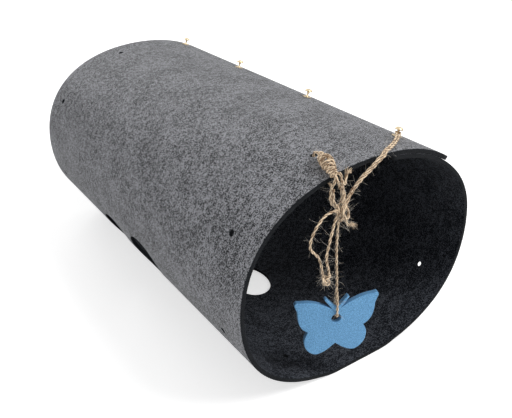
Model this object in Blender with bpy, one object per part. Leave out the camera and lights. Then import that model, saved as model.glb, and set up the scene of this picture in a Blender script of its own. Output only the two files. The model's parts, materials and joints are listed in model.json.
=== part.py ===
"""Pet tunnel: a stiff felt sheet rolled into a tube, closed with brass studs, with a felt butterfly
hanging on jute twine in its mouth.

Metres, +Z up.  The origin lies on the rest plane under the middle of the tube, whose axis runs along Y.
The mouth with the toy faces -Y, and the overlap with its row of studs lies at the top on the +X side.
An arc is a distance along the outer surface from the bottom centre line, positive towards +X.
"""

import math

import bmesh
import bpy
import numpy as np
from mathutils import Matrix, Vector

# The rolled sheet
TUNNEL_LENGTH = 0.500
TUNNEL_WIDTH = 0.295
TUNNEL_HEIGHT = 0.240
SHOULDER_SHARE = 0.039
FOOT_SINK = 0.0015
FOOT_HALF_WIDTH = 0.020
FOOT_EASE = 0.035
FELT_THICKNESS = 0.004
LAYER_GAP = 0.0004
STUD_LINE_FROM_TOP = 0.071
FLAP_MARGIN = 0.036
INNER_MARGIN = 0.045
TUCK_RUN = 0.090
FLAP_RUN = 0.022
FLAP_RISE = 0.0012
SECTION_STEPS = 1440
SHEET_STEPS = 150
OVERRUN = 0.003
SEAT_GAP = 0.0003

# Holes and windows of the sheet
HOLES_AROUND = 8
TIE_HOLE_DIAMETER = 0.006
TIE_ROW_MARGIN = 0.040
REAR_ROW_MARGIN = 0.030
WINDOW_ACROSS = 0.049
WINDOW_ALONG = 0.070
REAR_WINDOW_ARC = -0.1555
REAR_WINDOW_FROM_MOUTH = 0.306
MIDDLE_WINDOW_ARC = -0.1655
MIDDLE_WINDOW_FROM_MOUTH = 0.220
BOTTOM_WINDOW_ARC = -0.017
BOTTOM_WINDOW_FROM_MOUTH = 0.190
HOLE_SIDES = 20
WINDOW_SIDES = 40

# Studs and their screws
STUD_COUNT = 4
LAST_STUD_MARGIN = 0.022
FLANGE_DIAMETER = 0.0100
FLANGE_THICKNESS = 0.0008
NECK_DIAMETER = 0.0019
NECK_FLARE_DIAMETER = 0.0034
NECK_LENGTH = 0.0056
HEAD_DIAMETER = 0.0088
HEAD_BRIM = 0.0007
HEAD_HEIGHT = 0.0032
SHANK_DIAMETER = 0.0044
SHANK_CLEARANCE = 0.0003
BORE_DIAMETER = 0.0030
BORE_DEPTH = 0.0060
SCREW_DIAMETER = 0.0023
SCREW_LENGTH = 0.0055
SCREW_HEAD_DIAMETER = 0.0090
SCREW_HEAD_THICKNESS = 0.0014
SCREW_CROWN = 0.0005
SLOT_WIDTH = 0.0012
SLOT_DEPTH = 0.0006
STUD_SIDES = 20

# Twine
TWINE_DIAMETER = 0.0024
TWINE_BEVEL_STEPS = 2
BALL_END_ANGLES = (20, 45, 70)

# The winding over the tie loop
WRAP_REAR = (-0.0392, -0.2225, 0.2422)
WRAP_FRONT = (-0.0500, -0.2556, 0.2392)
WRAP_TURNS = 10.1
WRAP_POINTS_PER_TURN = 24
WRAP_REAR_RADIUS = 0.0032
WRAP_BELLY_RADIUS = 0.0054
WRAP_FRONT_RADIUS = 0.0029
WRAP_LEVEL_RADIUS = 0.0030
WRAP_BELLY_SHARE = 0.45
WRAP_LEAST_GAP = 0.0004

# Where the hanging twine turns: the line under the front edge, and the points below the main knot
HANG_Y = -0.2535
SWING_LEFT = (-0.0515, HANG_Y, 0.2255)
SWING_RIGHT = (0.0045, HANG_Y, 0.2289)
STRING_X = -0.0400
STRING_Y = -0.2540
STRING_TOP_Z = 0.1887
STRING_BOTTOM_Z = 0.1120
TOY_TURN_DEGREES = -22.2

# Knots, each an overhand knot of one strand
MAIN_KNOT_CENTRE = (-0.0400, -0.2540, 0.1990)
MAIN_KNOT_UNIT = (0.0016, 0.0020, 0.0029)
LOOP_KNOT_CENTRE = (-0.0615, -0.2630, 0.1385)
LOOP_KNOT_UNIT = (0.0015, 0.0018, 0.0018)
KNOT_STRAND_DIAMETER = 0.0026
KNOT_POINTS = 72

# The toy
TOY_HALF_WIDTH = 0.0425
TOY_THICKNESS = 0.005
TOY_HOLE_DIAMETER = 0.0099
TOY_HOLE_Z = 0.0803
TOY_HOLE_SIDES = 28
EYE_HANG = 0.0033
# Half outline in shares of the half width, from the hole's centre: across, up
ANTENNA_SHARES = ((0.0, 0.295), (0.255, 0.600), (0.300, 0.560), (0.100, 0.275))
FOREWING_SHARES = ((0.100, 0.275), (0.280, 0.395), (0.480, 0.490), (0.675, 0.550), (0.870, 0.572), (0.955, 0.590))
WING_TIP_SHARES = ((0.955, 0.590), (1.0, 0.530), (0.975, 0.425), (0.935, 0.310), (0.925, 0.190), (0.905, 0.035),
                   (0.855, -0.110), (0.775, -0.225), (0.675, -0.300))
HINDWING_SHARES = ((0.675, -0.300), (0.727, -0.407), (0.760, -0.560), (0.730, -0.753), (0.635, -0.904),
                   (0.499, -0.993), (0.365, -0.984), (0.200, -0.901), (0.0, -0.737))
OUTLINE_STEPS = 4

# Routes of the twine, points in metres from its start to its end
TIE_LOOP_ROUTE = (
    (-0.0515, -0.2535, 0.2270), (-0.0513, -0.2526, 0.2284), (-0.0503, -0.2490, 0.2288), (-0.0484, -0.2400, 0.2293),
    (-0.0450, -0.2300, 0.2300), (-0.0410, -0.2200, 0.2307), (-0.0381, -0.2140, 0.2306), (-0.0366, -0.2108, 0.2322),
    (-0.0363, -0.2100, 0.2352), (-0.0366, -0.2103, 0.2384), (-0.0369, -0.2118, 0.2410), (-0.0376, -0.2148, 0.2425),
    (-0.0384, -0.2187, 0.2426), (-0.0392, -0.2225, 0.2422), (-0.0446, -0.2391, 0.2407), (-0.0500, -0.2556, 0.2392),
    (-0.0505, -0.2578, 0.2384), (-0.0504, -0.2592, 0.2362), (-0.0490, -0.2590, 0.2336), (-0.0467, -0.2573, 0.2311),
    (-0.0445, -0.2550, 0.2291), (-0.0428, -0.2536, 0.2276))
TIE_TAIL_ROUTE = (
    (-0.0460, -0.2577, 0.2400), (-0.0453, -0.2580, 0.2390), (-0.0446, -0.2579, 0.2372), (-0.0441, -0.2584, 0.2338),
    (-0.0434, -0.2592, 0.2306), (-0.0420, -0.2595, 0.2294), (-0.0406, -0.2593, 0.2310), (-0.0399, -0.2589, 0.2345),
    (-0.0386, -0.2586, 0.2380), (-0.0362, -0.2585, 0.2397), (-0.0341, -0.2585, 0.2386))
STUD_SLING_ROUTE = (
    (-0.0133, -0.2535, 0.2285), (-0.0058, -0.2535, 0.2329), (0.0003, -0.2535, 0.2373), (0.0048, -0.2534, 0.2400),
    (0.0088, -0.2522, 0.2412), (0.0122, -0.2500, 0.2415), (0.0182, -0.2460, 0.2410), (0.0247, -0.2430, 0.2404),
    (0.0316, -0.2393, 0.2396), (0.0395, -0.2344, 0.2385), (0.0489, -0.2277, 0.2367), (0.0600, -0.2185, 0.2339),
    (0.0662, -0.2127, 0.2336), (0.0694, -0.2084, 0.2332), (0.0715, -0.2072, 0.2325), (0.0735, -0.2084, 0.2317),
    (0.0737, -0.2106, 0.2316), (0.0720, -0.2126, 0.2320), (0.0618, -0.2205, 0.2340), (0.0505, -0.2299, 0.2368),
    (0.0411, -0.2366, 0.2385), (0.0330, -0.2417, 0.2396), (0.0259, -0.2454, 0.2404), (0.0194, -0.2484, 0.2410),
    (0.0152, -0.2507, 0.2412), (0.0122, -0.2527, 0.2401), (0.0082, -0.2535, 0.2383), (0.0022, -0.2535, 0.2348),
    (-0.0047, -0.2535, 0.2303), (-0.0075, -0.2535, 0.2288))
BRIDLE_LEFT_ROUTE = (
    (-0.0515, -0.2535, 0.2240), (-0.0521, -0.2536, 0.2205), (-0.0524, -0.2538, 0.2160), (-0.0510, -0.2539, 0.2110),
    (-0.0480, -0.2540, 0.2075), (-0.0458, -0.2540, 0.2060))
BRIDLE_RIGHT_ROUTE = (
    (-0.0421, -0.2535, 0.2247), (-0.0408, -0.2537, 0.2215), (-0.0396, -0.2540, 0.2175), (-0.0393, -0.2542, 0.2135),
    (-0.0406, -0.2542, 0.2095), (-0.0423, -0.2540, 0.2064))
SLING_UPPER_ROUTE = (
    (-0.0158, -0.2535, 0.2270), (-0.0206, -0.2536, 0.2240), (-0.0262, -0.2538, 0.2197), (-0.0308, -0.2540, 0.2150),
    (-0.0337, -0.2541, 0.2103), (-0.0346, -0.2541, 0.2062))
SLING_LOWER_ROUTE = (
    (-0.0100, -0.2535, 0.2274), (-0.0150, -0.2536, 0.2236), (-0.0212, -0.2538, 0.2185), (-0.0264, -0.2540, 0.2135),
    (-0.0303, -0.2541, 0.2085), (-0.0330, -0.2541, 0.2038))
LOOP_DOWN_ROUTE = (
    (-0.0458, -0.2554, 0.2024), (-0.0508, -0.2568, 0.2038), (-0.0579, -0.2580, 0.2042), (-0.0636, -0.2590, 0.2030),
    (-0.0694, -0.2600, 0.1992), (-0.0752, -0.2610, 0.1936), (-0.0791, -0.2615, 0.1862), (-0.0802, -0.2620, 0.1788),
    (-0.0764, -0.2623, 0.1728), (-0.0712, -0.2625, 0.1664), (-0.0682, -0.2626, 0.1580), (-0.0666, -0.2628, 0.1500),
    (-0.0653, -0.2630, 0.1436))
LOOP_UP_ROUTE = (
    (-0.0585, -0.2630, 0.1442), (-0.0600, -0.2640, 0.1500), (-0.0640, -0.2662, 0.1590), (-0.0652, -0.2668, 0.1672),
    (-0.0625, -0.2652, 0.1738), (-0.0580, -0.2625, 0.1803), (-0.0535, -0.2600, 0.1869), (-0.0488, -0.2572, 0.1928),
    (-0.0441, -0.2551, 0.1959))
KNOT_TAIL_ROUTE = (
    (-0.0369, -0.2573, 0.1914), (-0.0356, -0.2580, 0.1880), (-0.0337, -0.2586, 0.1852), (-0.0314, -0.2590, 0.1846),
    (-0.0296, -0.2592, 0.1866))
TOY_STRING_SWAY = ((0.0, 0.0), (-0.0004, 0.0), (-0.0007, -0.0001), (-0.0003, 0.0), (0.0002, 0.0), (0.0, 0.0))
# The eye through the toy, in the plane across it: out from the middle of the felt, up from the hole's centre
TOY_EYE_ROUTE = (
    (-0.00137, 0.0314), (-0.0017, 0.0285), (-0.0029, 0.0225), (-0.0041, 0.0155), (-0.0042, 0.0085),
    (-0.0042, 0.0052), (-0.0034, 0.0036), (-0.0017, 0.0033), (0.0017, 0.0033), (0.0034, 0.0036),
    (0.0042, 0.0052), (0.0042, 0.0085), (0.0041, 0.0155), (0.0029, 0.0225), (0.0017, 0.0285), (0.00137, 0.0314))


def clear_scene():
    for obj in list(bpy.data.objects):
        bpy.data.objects.remove(obj)


def material(name, colour, roughness, metallic=0.0):
    mat = bpy.data.materials.new(name)
    mat.use_nodes = True
    shader = mat.node_tree.nodes["Principled BSDF"]
    shader.inputs["Base Color"].default_value = (*colour, 1.0)
    shader.inputs["Roughness"].default_value = roughness
    shader.inputs["Metallic"].default_value = metallic
    return mat


def smoothstep(share):
    share = np.clip(share, 0.0, 1.0)
    return share * share * (3.0 - 2.0 * share)


# The section of the tube

def section_curve():
    """Outer surface in the X-Z plane, from the bottom centre round by +X, and the arc length to each point."""
    angle = np.linspace(-0.5 * math.pi, 1.5 * math.pi, SECTION_STEPS + 1)
    shoulder = 1.0 + SHOULDER_SHARE * np.sin(2.0 * angle) ** 2
    x = 0.5 * TUNNEL_WIDTH * shoulder * np.cos(angle)
    z = 0.5 * (TUNNEL_HEIGHT + FOOT_SINK) * (1.0 + shoulder * np.sin(angle)) - FOOT_SINK
    near_foot = (np.abs(x) < FOOT_HALF_WIDTH + FOOT_EASE) & (z < 0.5 * TUNNEL_HEIGHT)
    ease = smoothstep((np.abs(x) - FOOT_HALF_WIDTH) / FOOT_EASE)
    z = np.where(near_foot, np.maximum(z, 0.0) * ease, z)
    steps = np.hypot(np.diff(x), np.diff(z))
    return x, z, np.concatenate(([0.0], np.cumsum(steps)))


SECTION_X, SECTION_Z, SECTION_ARC = section_curve()
PERIMETER = float(SECTION_ARC[-1])
TOP_ARC = 0.5 * PERIMETER
STUD_ARC = TOP_ARC - STUD_LINE_FROM_TOP
FLAP_END_ARC = STUD_ARC - FLAP_MARGIN
INNER_END_ARC = STUD_ARC + INNER_MARGIN
LAYER_STEP = FELT_THICKNESS + LAYER_GAP
MOUTH_Y = -0.5 * TUNNEL_LENGTH


def section_point(arc):
    along = arc % PERIMETER
    x = float(np.interp(along, SECTION_ARC, SECTION_X))
    z = float(np.interp(along, SECTION_ARC, SECTION_Z))
    return x, z


def section_frame(arc):
    """Tangent (growing arc) and outward normal at an arc."""
    reach = PERIMETER / SECTION_STEPS
    x_before, z_before = section_point(arc - reach)
    x_after, z_after = section_point(arc + reach)
    tangent = Vector((x_after - x_before, 0.0, z_after - z_before)).normalized()
    return tangent, Vector((tangent.z, 0.0, -tangent.x))


def place(arc, y, lift=0.0):
    """A point at an arc and a height over the outer surface."""
    x, z = section_point(arc)
    _, normal = section_frame(arc)
    return Vector((x, y, z)) + normal * lift


def sheet_lift(arc):
    """Height of the sheet's outer face: it tucks under the flap, and the flap's free end stands off."""
    tuck = LAYER_STEP * smoothstep((arc - (FLAP_END_ARC - TUCK_RUN)) / TUCK_RUN)
    from_flap_end = arc - (FLAP_END_ARC - PERIMETER)
    rise = FLAP_RISE * np.clip(1.0 - from_flap_end / FLAP_RUN, 0.0, 1.0) ** 2
    return float(rise - tuck)


def felt_blank():
    """The rolled sheet without its holes, as one closed shell of quads."""
    arcs = np.linspace(FLAP_END_ARC - PERIMETER, INNER_END_ARC, SHEET_STEPS + 1)
    bm = bmesh.new()
    rows = []
    for arc in arcs:
        lift = sheet_lift(arc)
        row = []
        for y in (MOUTH_Y, -MOUTH_Y):
            for height in (lift, lift - FELT_THICKNESS):
                row.append(bm.verts.new(place(arc, y, height)))
        rows.append(row)
    for (front_out, front_in, rear_out, rear_in), after in zip(rows[:-1], rows[1:]):
        bm.faces.new((front_out, after[0], after[2], rear_out))
        bm.faces.new((front_in, rear_in, after[3], after[1]))
        bm.faces.new((front_out, front_in, after[1], after[0]))
        bm.faces.new((rear_out, after[2], after[3], rear_in))
    for front_out, front_in, rear_out, rear_in in (rows[0], rows[-1]):
        bm.faces.new((front_out, rear_out, rear_in, front_in))
    bmesh.ops.recalc_face_normals(bm, faces=bm.faces)
    return bm


def add_cutter(bm, arc, y, across, along, depth, sides):
    """A round or oval punch through the sheet, square to it at its centre."""
    tangent, normal = section_frame(arc)
    centre = place(arc, y)
    rings = []
    for height in (OVERRUN, -depth - OVERRUN):
        ring = []
        for step in range(sides):
            turn = 2.0 * math.pi * step / sides
            offset = tangent * (0.5 * across * math.cos(turn)) + Vector((0.0, 0.5 * along * math.sin(turn), 0.0))
            ring.append(bm.verts.new(centre + offset + normal * height))
        rings.append(ring)
    top, bottom = rings
    bm.faces.new(top)
    bm.faces.new(list(reversed(bottom)))
    for step in range(sides):
        after = (step + 1) % sides
        bm.faces.new((top[step], bottom[step], bottom[after], top[after]))


def stud_rows():
    """The Y of each stud, evenly spaced from the front tie row to the last stud's place."""
    pitch = (TUNNEL_LENGTH - TIE_ROW_MARGIN - LAST_STUD_MARGIN) / (STUD_COUNT - 1)
    return [MOUTH_Y + TIE_ROW_MARGIN + pitch * index for index in range(STUD_COUNT)]


def punches():
    bm = bmesh.new()
    for y in (MOUTH_Y + TIE_ROW_MARGIN, -MOUTH_Y - REAR_ROW_MARGIN):
        for step in range(1, HOLES_AROUND):
            arc = STUD_ARC - PERIMETER * step / HOLES_AROUND
            add_cutter(bm, arc, y, TIE_HOLE_DIAMETER, TIE_HOLE_DIAMETER, FELT_THICKNESS, HOLE_SIDES)
    stud_hole = SHANK_DIAMETER + 2.0 * SHANK_CLEARANCE
    for y in stud_rows():
        add_cutter(bm, STUD_ARC, y, stud_hole, stud_hole, FELT_THICKNESS + LAYER_STEP, HOLE_SIDES)
    windows = ((REAR_WINDOW_ARC, REAR_WINDOW_FROM_MOUTH), (MIDDLE_WINDOW_ARC, MIDDLE_WINDOW_FROM_MOUTH),
               (BOTTOM_WINDOW_ARC, BOTTOM_WINDOW_FROM_MOUTH))
    for arc, from_mouth in windows:
        add_cutter(bm, arc, MOUTH_Y + from_mouth, WINDOW_ACROSS, WINDOW_ALONG, FELT_THICKNESS, WINDOW_SIDES)
    bmesh.ops.recalc_face_normals(bm, faces=bm.faces)
    return bm


# Objects

def mesh_object(name, bm, mat, smooth_degrees=None):
    mesh = bpy.data.meshes.new(name)
    bm.to_mesh(mesh)
    bm.free()
    if smooth_degrees is not None:
        mesh.shade_smooth()
        mesh.set_sharp_from_angle(angle=math.radians(smooth_degrees))
    obj = bpy.data.objects.new(name, mesh)
    obj.data.materials.append(mat)
    bpy.context.scene.collection.objects.link(obj)
    return obj


def cut_with(obj, cutter):
    cutter.hide_render = True
    cutter.display_type = "WIRE"
    cut = obj.modifiers.new("cut", "BOOLEAN")
    cut.operation = "DIFFERENCE"
    cut.solver = "EXACT"
    cut.object = cutter


def pivot(name, location, parent=None):
    """An empty on a joint's axis.  Pieces and further pivots hang on it without moving."""
    empty = bpy.data.objects.new(name, None)
    empty.location = location
    bpy.context.scene.collection.objects.link(empty)
    if parent is not None:
        hang_on(empty, parent)
    return empty


PIVOT_PLACES = {}


def hang_on(obj, parent):
    obj.parent = parent
    obj.matrix_parent_inverse = Matrix.Translation(PIVOT_PLACES[parent.name]).inverted()


def turned(name, profile, sides, mat):
    """A solid turned from (radius, height) points that start and end on its axis."""
    bm = bmesh.new()
    verts = [bm.verts.new((radius, 0.0, height)) for radius, height in profile]
    edges = [bm.edges.new(pair) for pair in zip(verts[:-1], verts[1:])]
    bmesh.ops.spin(bm, geom=verts + edges, cent=(0, 0, 0), axis=(0, 0, 1), angle=2.0 * math.pi, steps=sides,
                   use_merge=True)
    bmesh.ops.remove_doubles(bm, verts=bm.verts, dist=0.01 * LAYER_GAP)
    bmesh.ops.recalc_face_normals(bm, faces=bm.faces)
    return mesh_object(name, bm, mat, 40)


# Studs

def stud_profile():
    flange_top = FLANGE_THICKNESS
    head_bottom = flange_top + NECK_LENGTH
    shank_end = -(LAYER_STEP + FELT_THICKNESS)
    bore_top = shank_end + BORE_DEPTH
    head_radius = 0.5 * HEAD_DIAMETER
    profile = [(0.0, bore_top), (0.5 * BORE_DIAMETER, bore_top), (0.5 * BORE_DIAMETER, shank_end),
               (0.5 * SHANK_DIAMETER, shank_end), (0.5 * SHANK_DIAMETER, 0.0), (0.5 * FLANGE_DIAMETER, 0.0),
               (0.5 * FLANGE_DIAMETER, 0.5 * flange_top), (0.45 * FLANGE_DIAMETER, flange_top),
               (0.5 * NECK_FLARE_DIAMETER, flange_top), (0.5 * NECK_DIAMETER, flange_top + 0.15 * NECK_LENGTH),
               (0.5 * NECK_DIAMETER, flange_top + 0.60 * NECK_LENGTH),
               (0.5 * NECK_FLARE_DIAMETER, head_bottom), (0.92 * head_radius, head_bottom),
               (head_radius, head_bottom + 0.5 * HEAD_BRIM), (head_radius, head_bottom + HEAD_BRIM)]
    dome = HEAD_HEIGHT - HEAD_BRIM
    for degrees in (22, 42, 60, 76):
        turn = math.radians(degrees)
        profile.append((head_radius * math.cos(turn), head_bottom + HEAD_BRIM + dome * math.sin(turn)))
    profile.append((0.0, head_bottom + HEAD_HEIGHT))
    return profile


def screw_profile():
    """The screw's head seats under the felt and its shank points up, from z = 0 at the head's seat."""
    under = -SCREW_HEAD_THICKNESS
    return [(0.0, SCREW_LENGTH), (0.35 * SCREW_DIAMETER, SCREW_LENGTH),
            (0.5 * SCREW_DIAMETER, SCREW_LENGTH - 0.15 * SCREW_DIAMETER), (0.5 * SCREW_DIAMETER, 0.0),
            (0.5 * SCREW_HEAD_DIAMETER, 0.0), (0.5 * SCREW_HEAD_DIAMETER, 0.4 * under),
            (0.45 * SCREW_HEAD_DIAMETER, 0.8 * under), (0.3 * SCREW_HEAD_DIAMETER, under - 0.3 * SCREW_CROWN),
            (0.0, under - 0.6 * SCREW_CROWN)]


def on_stud_line(y, lift):
    """World placing of a turned piece whose own Z points out of the felt on the stud line."""
    tangent, normal = section_frame(STUD_ARC)
    turn = Matrix((tangent, Vector((0.0, 1.0, 0.0)), normal)).transposed().to_4x4()
    return Matrix.Translation(place(STUD_ARC, y, lift)) @ turn


def slot_cutter(name, mat):
    bm = bmesh.new()
    bmesh.ops.create_cube(bm, size=1.0)
    depth = SLOT_DEPTH + OVERRUN
    base = -SCREW_HEAD_THICKNESS - 0.6 * SCREW_CROWN + SLOT_DEPTH
    length = SCREW_HEAD_DIAMETER + OVERRUN
    bmesh.ops.transform(bm, verts=bm.verts, matrix=Matrix.Translation((0.0, 0.0, base - 0.5 * depth))
                        @ Matrix.Diagonal((length, SLOT_WIDTH, depth, 1.0)))
    return mesh_object(name, bm, mat)


def build_studs(brass):
    seat = -(LAYER_STEP + FELT_THICKNESS) - SEAT_GAP
    for index, y in enumerate(stud_rows(), start=1):
        stud = turned(f"stud_{index}", stud_profile(), STUD_SIDES, brass)
        stud.matrix_world = on_stud_line(y, SEAT_GAP)
        screw = turned(f"stud_screw_{index}", screw_profile(), STUD_SIDES, brass)
        screw.matrix_world = on_stud_line(y, seat)
        slot = slot_cutter(f"slot_cutter_{index}", brass)
        slot.matrix_world = screw.matrix_world
        cut_with(screw, slot)


# Twine

def smooth_route(points, spacing):
    """A Catmull-Rom curve through a route's points, read off at an even spacing."""
    route = [Vector(point) for point in points]
    padded = [2 * route[0] - route[1]] + route + [2 * route[-1] - route[-2]]
    fine = []
    for a, b, c, d in zip(padded, padded[1:], padded[2:], padded[3:]):
        for step in range(12):
            t = step / 12
            fine.append(0.5 * (2 * b + (c - a) * t + (2 * a - 5 * b + 4 * c - d) * t ** 2
                               + (3 * b - a - 3 * c + d) * t ** 3))
    fine.append(route[-1])
    lengths = np.concatenate(([0.0], np.cumsum([(q - p).length for p, q in zip(fine, fine[1:])])))
    count = max(4, round(lengths[-1] / spacing))
    wanted = np.linspace(0.0, lengths[-1], count + 1)
    columns = [np.interp(wanted, lengths, [point[axis] for point in fine]) for axis in range(3)]
    return [Vector(point) for point in zip(*columns)]


def ball_end(points, radius):
    """Points and radius shares that round off the start of a tube in place of its first point."""
    direction = (points[1] - points[0]).normalized()
    shares = [math.sin(math.radians(degrees)) for degrees in BALL_END_ANGLES]
    reach = [radius * (1.0 - math.cos(math.radians(degrees))) for degrees in BALL_END_ANGLES]
    rounded = [points[0] + direction * (distance - radius) for distance in reach]
    return rounded + points, shares + [1.0] * len(points)


def tube(name, points, diameter, mat, ball_start=False, ball_finish=False, level=TWINE_BEVEL_STEPS, closed=False):
    points = list(points)
    shares = [1.0] * len(points)
    if ball_start:
        points, shares = ball_end(points, 0.5 * diameter)
    if ball_finish:
        backwards, _ = ball_end(points[::-1], 0.5 * diameter)
        extra = len(backwards) - len(points)
        shares = shares + [math.sin(math.radians(degrees)) for degrees in reversed(BALL_END_ANGLES)]
        points = points + backwards[:extra][::-1]
    curve = bpy.data.curves.new(name, "CURVE")
    curve.dimensions = "3D"
    curve.bevel_depth = 0.5 * diameter
    curve.bevel_resolution = level
    curve.use_fill_caps = not closed
    curve.render_resolution_u = 0
    spline = curve.splines.new("POLY")
    spline.points.add(len(points) - 1)
    for spline_point, point, share in zip(spline.points, points, shares):
        spline_point.co = (*point, 1.0)
        spline_point.radius = share
    spline.use_cyclic_u = closed
    curve.materials.append(mat)
    obj = bpy.data.objects.new(name, curve)
    bpy.context.scene.collection.objects.link(obj)
    return obj


def twine(name, route, mat, spacing=1.5 * TWINE_DIAMETER, **ends):
    return tube(name, smooth_route(route, spacing), TWINE_DIAMETER, mat, **ends)


def wrap_radius(share):
    if share < WRAP_BELLY_SHARE:
        blend = smoothstep(share / WRAP_BELLY_SHARE)
        return float(WRAP_REAR_RADIUS + (WRAP_BELLY_RADIUS - WRAP_REAR_RADIUS) * blend)
    blend = smoothstep((share - WRAP_BELLY_SHARE) / (1.0 - WRAP_BELLY_SHARE))
    return float(WRAP_BELLY_RADIUS + (WRAP_FRONT_RADIUS - WRAP_BELLY_RADIUS) * blend)


def wrap_points():
    """A helix along the line from WRAP_REAR to WRAP_FRONT, with a straight end one diameter long each side.

    Its middle rises where it swells, so that its underside stays level over the felt.
    """
    rear = Vector(WRAP_REAR)
    run = Vector(WRAP_FRONT) - rear
    axis = run.normalized()
    side = Vector((0.0, 0.0, 1.0)).cross(axis).normalized()
    up = axis.cross(side)
    points = []
    count = round(WRAP_TURNS * WRAP_POINTS_PER_TURN)
    for step in range(count + 1):
        share = step / count
        turn = 2.0 * math.pi * WRAP_TURNS * share
        radial = up * math.cos(turn) + side * math.sin(turn)
        radius = wrap_radius(share)
        points.append(rear + run * share + up * (radius - WRAP_LEVEL_RADIUS) + radial * radius)
    lead_in = (points[0] - points[1]).normalized() * TWINE_DIAMETER
    lead_out = (points[-1] - points[-2]).normalized() * TWINE_DIAMETER
    return [points[0] + lead_in] + points + [points[-1] + lead_out]


def least_gap(points, diameter):
    """Least clear distance between stretches of one tube that are half a turn or more apart."""
    cloud = np.array([tuple(point) for point in points])
    apart = WRAP_POINTS_PER_TURN // 2
    gaps = []
    for index in range(len(cloud) - apart):
        distances = np.linalg.norm(cloud[index + apart:] - cloud[index], axis=1)
        gaps.append(distances.min() - diameter)
    return float(min(gaps))


def build_wrap(jute):
    points = wrap_points()
    gap = least_gap(points, TWINE_DIAMETER)
    print(f"tie_wrap: least gap between its turns {gap * 1000:.2f} mm, wanted over {WRAP_LEAST_GAP * 1000:.2f} mm")
    return tube("tie_wrap", points, TWINE_DIAMETER, jute, level=1)


def knot_points(centre, unit):
    """An overhand knot closed on itself, seen from the front, one lobe down."""
    points = []
    for step in range(KNOT_POINTS):
        turn = 2.0 * math.pi * step / KNOT_POINTS
        across = math.sin(turn) + 2.0 * math.sin(2.0 * turn)
        up = math.cos(turn) - 2.0 * math.cos(2.0 * turn)
        deep = math.sin(3.0 * turn)
        points.append(Vector(centre) + Vector((across * unit[0], deep * unit[1], up * unit[2])))
    return points


def build_knot(name, centre, unit, jute):
    return tube(name, knot_points(centre, unit), KNOT_STRAND_DIAMETER, jute, level=1, closed=True)


def string_route():
    """The toy string, a little kinked, from its ball end under the knot to the toy's eye."""
    top = STRING_TOP_Z - 0.6 * TWINE_DIAMETER
    count = len(TOY_STRING_SWAY) - 1
    route = []
    for index, (sway_x, sway_y) in enumerate(TOY_STRING_SWAY):
        z = top + (STRING_BOTTOM_Z - top) * index / count
        route.append((STRING_X + sway_x, STRING_Y + sway_y, z))
    return route


# The toy

def smooth_outline(shares):
    """A smooth flat stretch through shares of the toy's half width."""
    points = [Vector((across, up, 0.0)) * TOY_HALF_WIDTH for across, up in shares]
    padded = [2 * points[0] - points[1]] + points + [2 * points[-1] - points[-2]]
    stretch = []
    for a, b, c, d in zip(padded, padded[1:], padded[2:], padded[3:]):
        for step in range(OUTLINE_STEPS):
            t = step / OUTLINE_STEPS
            stretch.append(0.5 * (2 * b + (c - a) * t + (2 * a - 5 * b + 4 * c - d) * t ** 2
                                  + (3 * b - a - 3 * c + d) * t ** 3))
    return stretch


def toy_outline():
    """The butterfly's outline about its hole: the right half, then its mirror image."""
    right = [Vector((across, up, 0.0)) * TOY_HALF_WIDTH for across, up in ANTENNA_SHARES[:-1]]
    for shares in (FOREWING_SHARES, WING_TIP_SHARES, HINDWING_SHARES):
        right.extend(smooth_outline(shares))
    right.append(Vector((0.0, HINDWING_SHARES[-1][1], 0.0)) * TOY_HALF_WIDTH)
    left = [Vector((-point.x, point.y, 0.0)) for point in right[1:-1]]
    return right + left[::-1]


def toy_frame():
    """Placing of the toy: across, through and up, about the hole's centre."""
    turn = Matrix.Rotation(math.radians(TOY_TURN_DEGREES), 4, "Z")
    return Matrix.Translation((STRING_X, STRING_Y, TOY_HOLE_Z)) @ turn


def build_toy(felt, cutter_mat):
    bm = bmesh.new()
    ring = [bm.verts.new((point.x, -0.5 * TOY_THICKNESS, point.y)) for point in toy_outline()]
    face = bm.faces.new(ring)
    pushed = bmesh.ops.extrude_face_region(bm, geom=[face])
    moved = [item for item in pushed["geom"] if isinstance(item, bmesh.types.BMVert)]
    bmesh.ops.translate(bm, verts=moved, vec=(0.0, TOY_THICKNESS, 0.0))
    bmesh.ops.recalc_face_normals(bm, faces=bm.faces)
    toy = mesh_object("butterfly", bm, felt)
    toy.matrix_world = toy_frame()
    punch = bmesh.new()
    bmesh.ops.create_cone(punch, cap_ends=True, segments=TOY_HOLE_SIDES, radius1=0.5 * TOY_HOLE_DIAMETER,
                          radius2=0.5 * TOY_HOLE_DIAMETER, depth=TOY_THICKNESS + 2.0 * OVERRUN,
                          matrix=Matrix.Rotation(math.radians(90), 4, "X"))
    cutter = mesh_object("toy_hole_cutter", punch, cutter_mat)
    cutter.matrix_world = toy_frame()
    cut_with(toy, cutter)
    return toy


def eye_points():
    frame = toy_frame()
    local = [Vector((0.0, out, up)) for out, up in TOY_EYE_ROUTE]
    return [frame @ point for point in smooth_route(local, 0.5 * TWINE_DIAMETER)]


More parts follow.
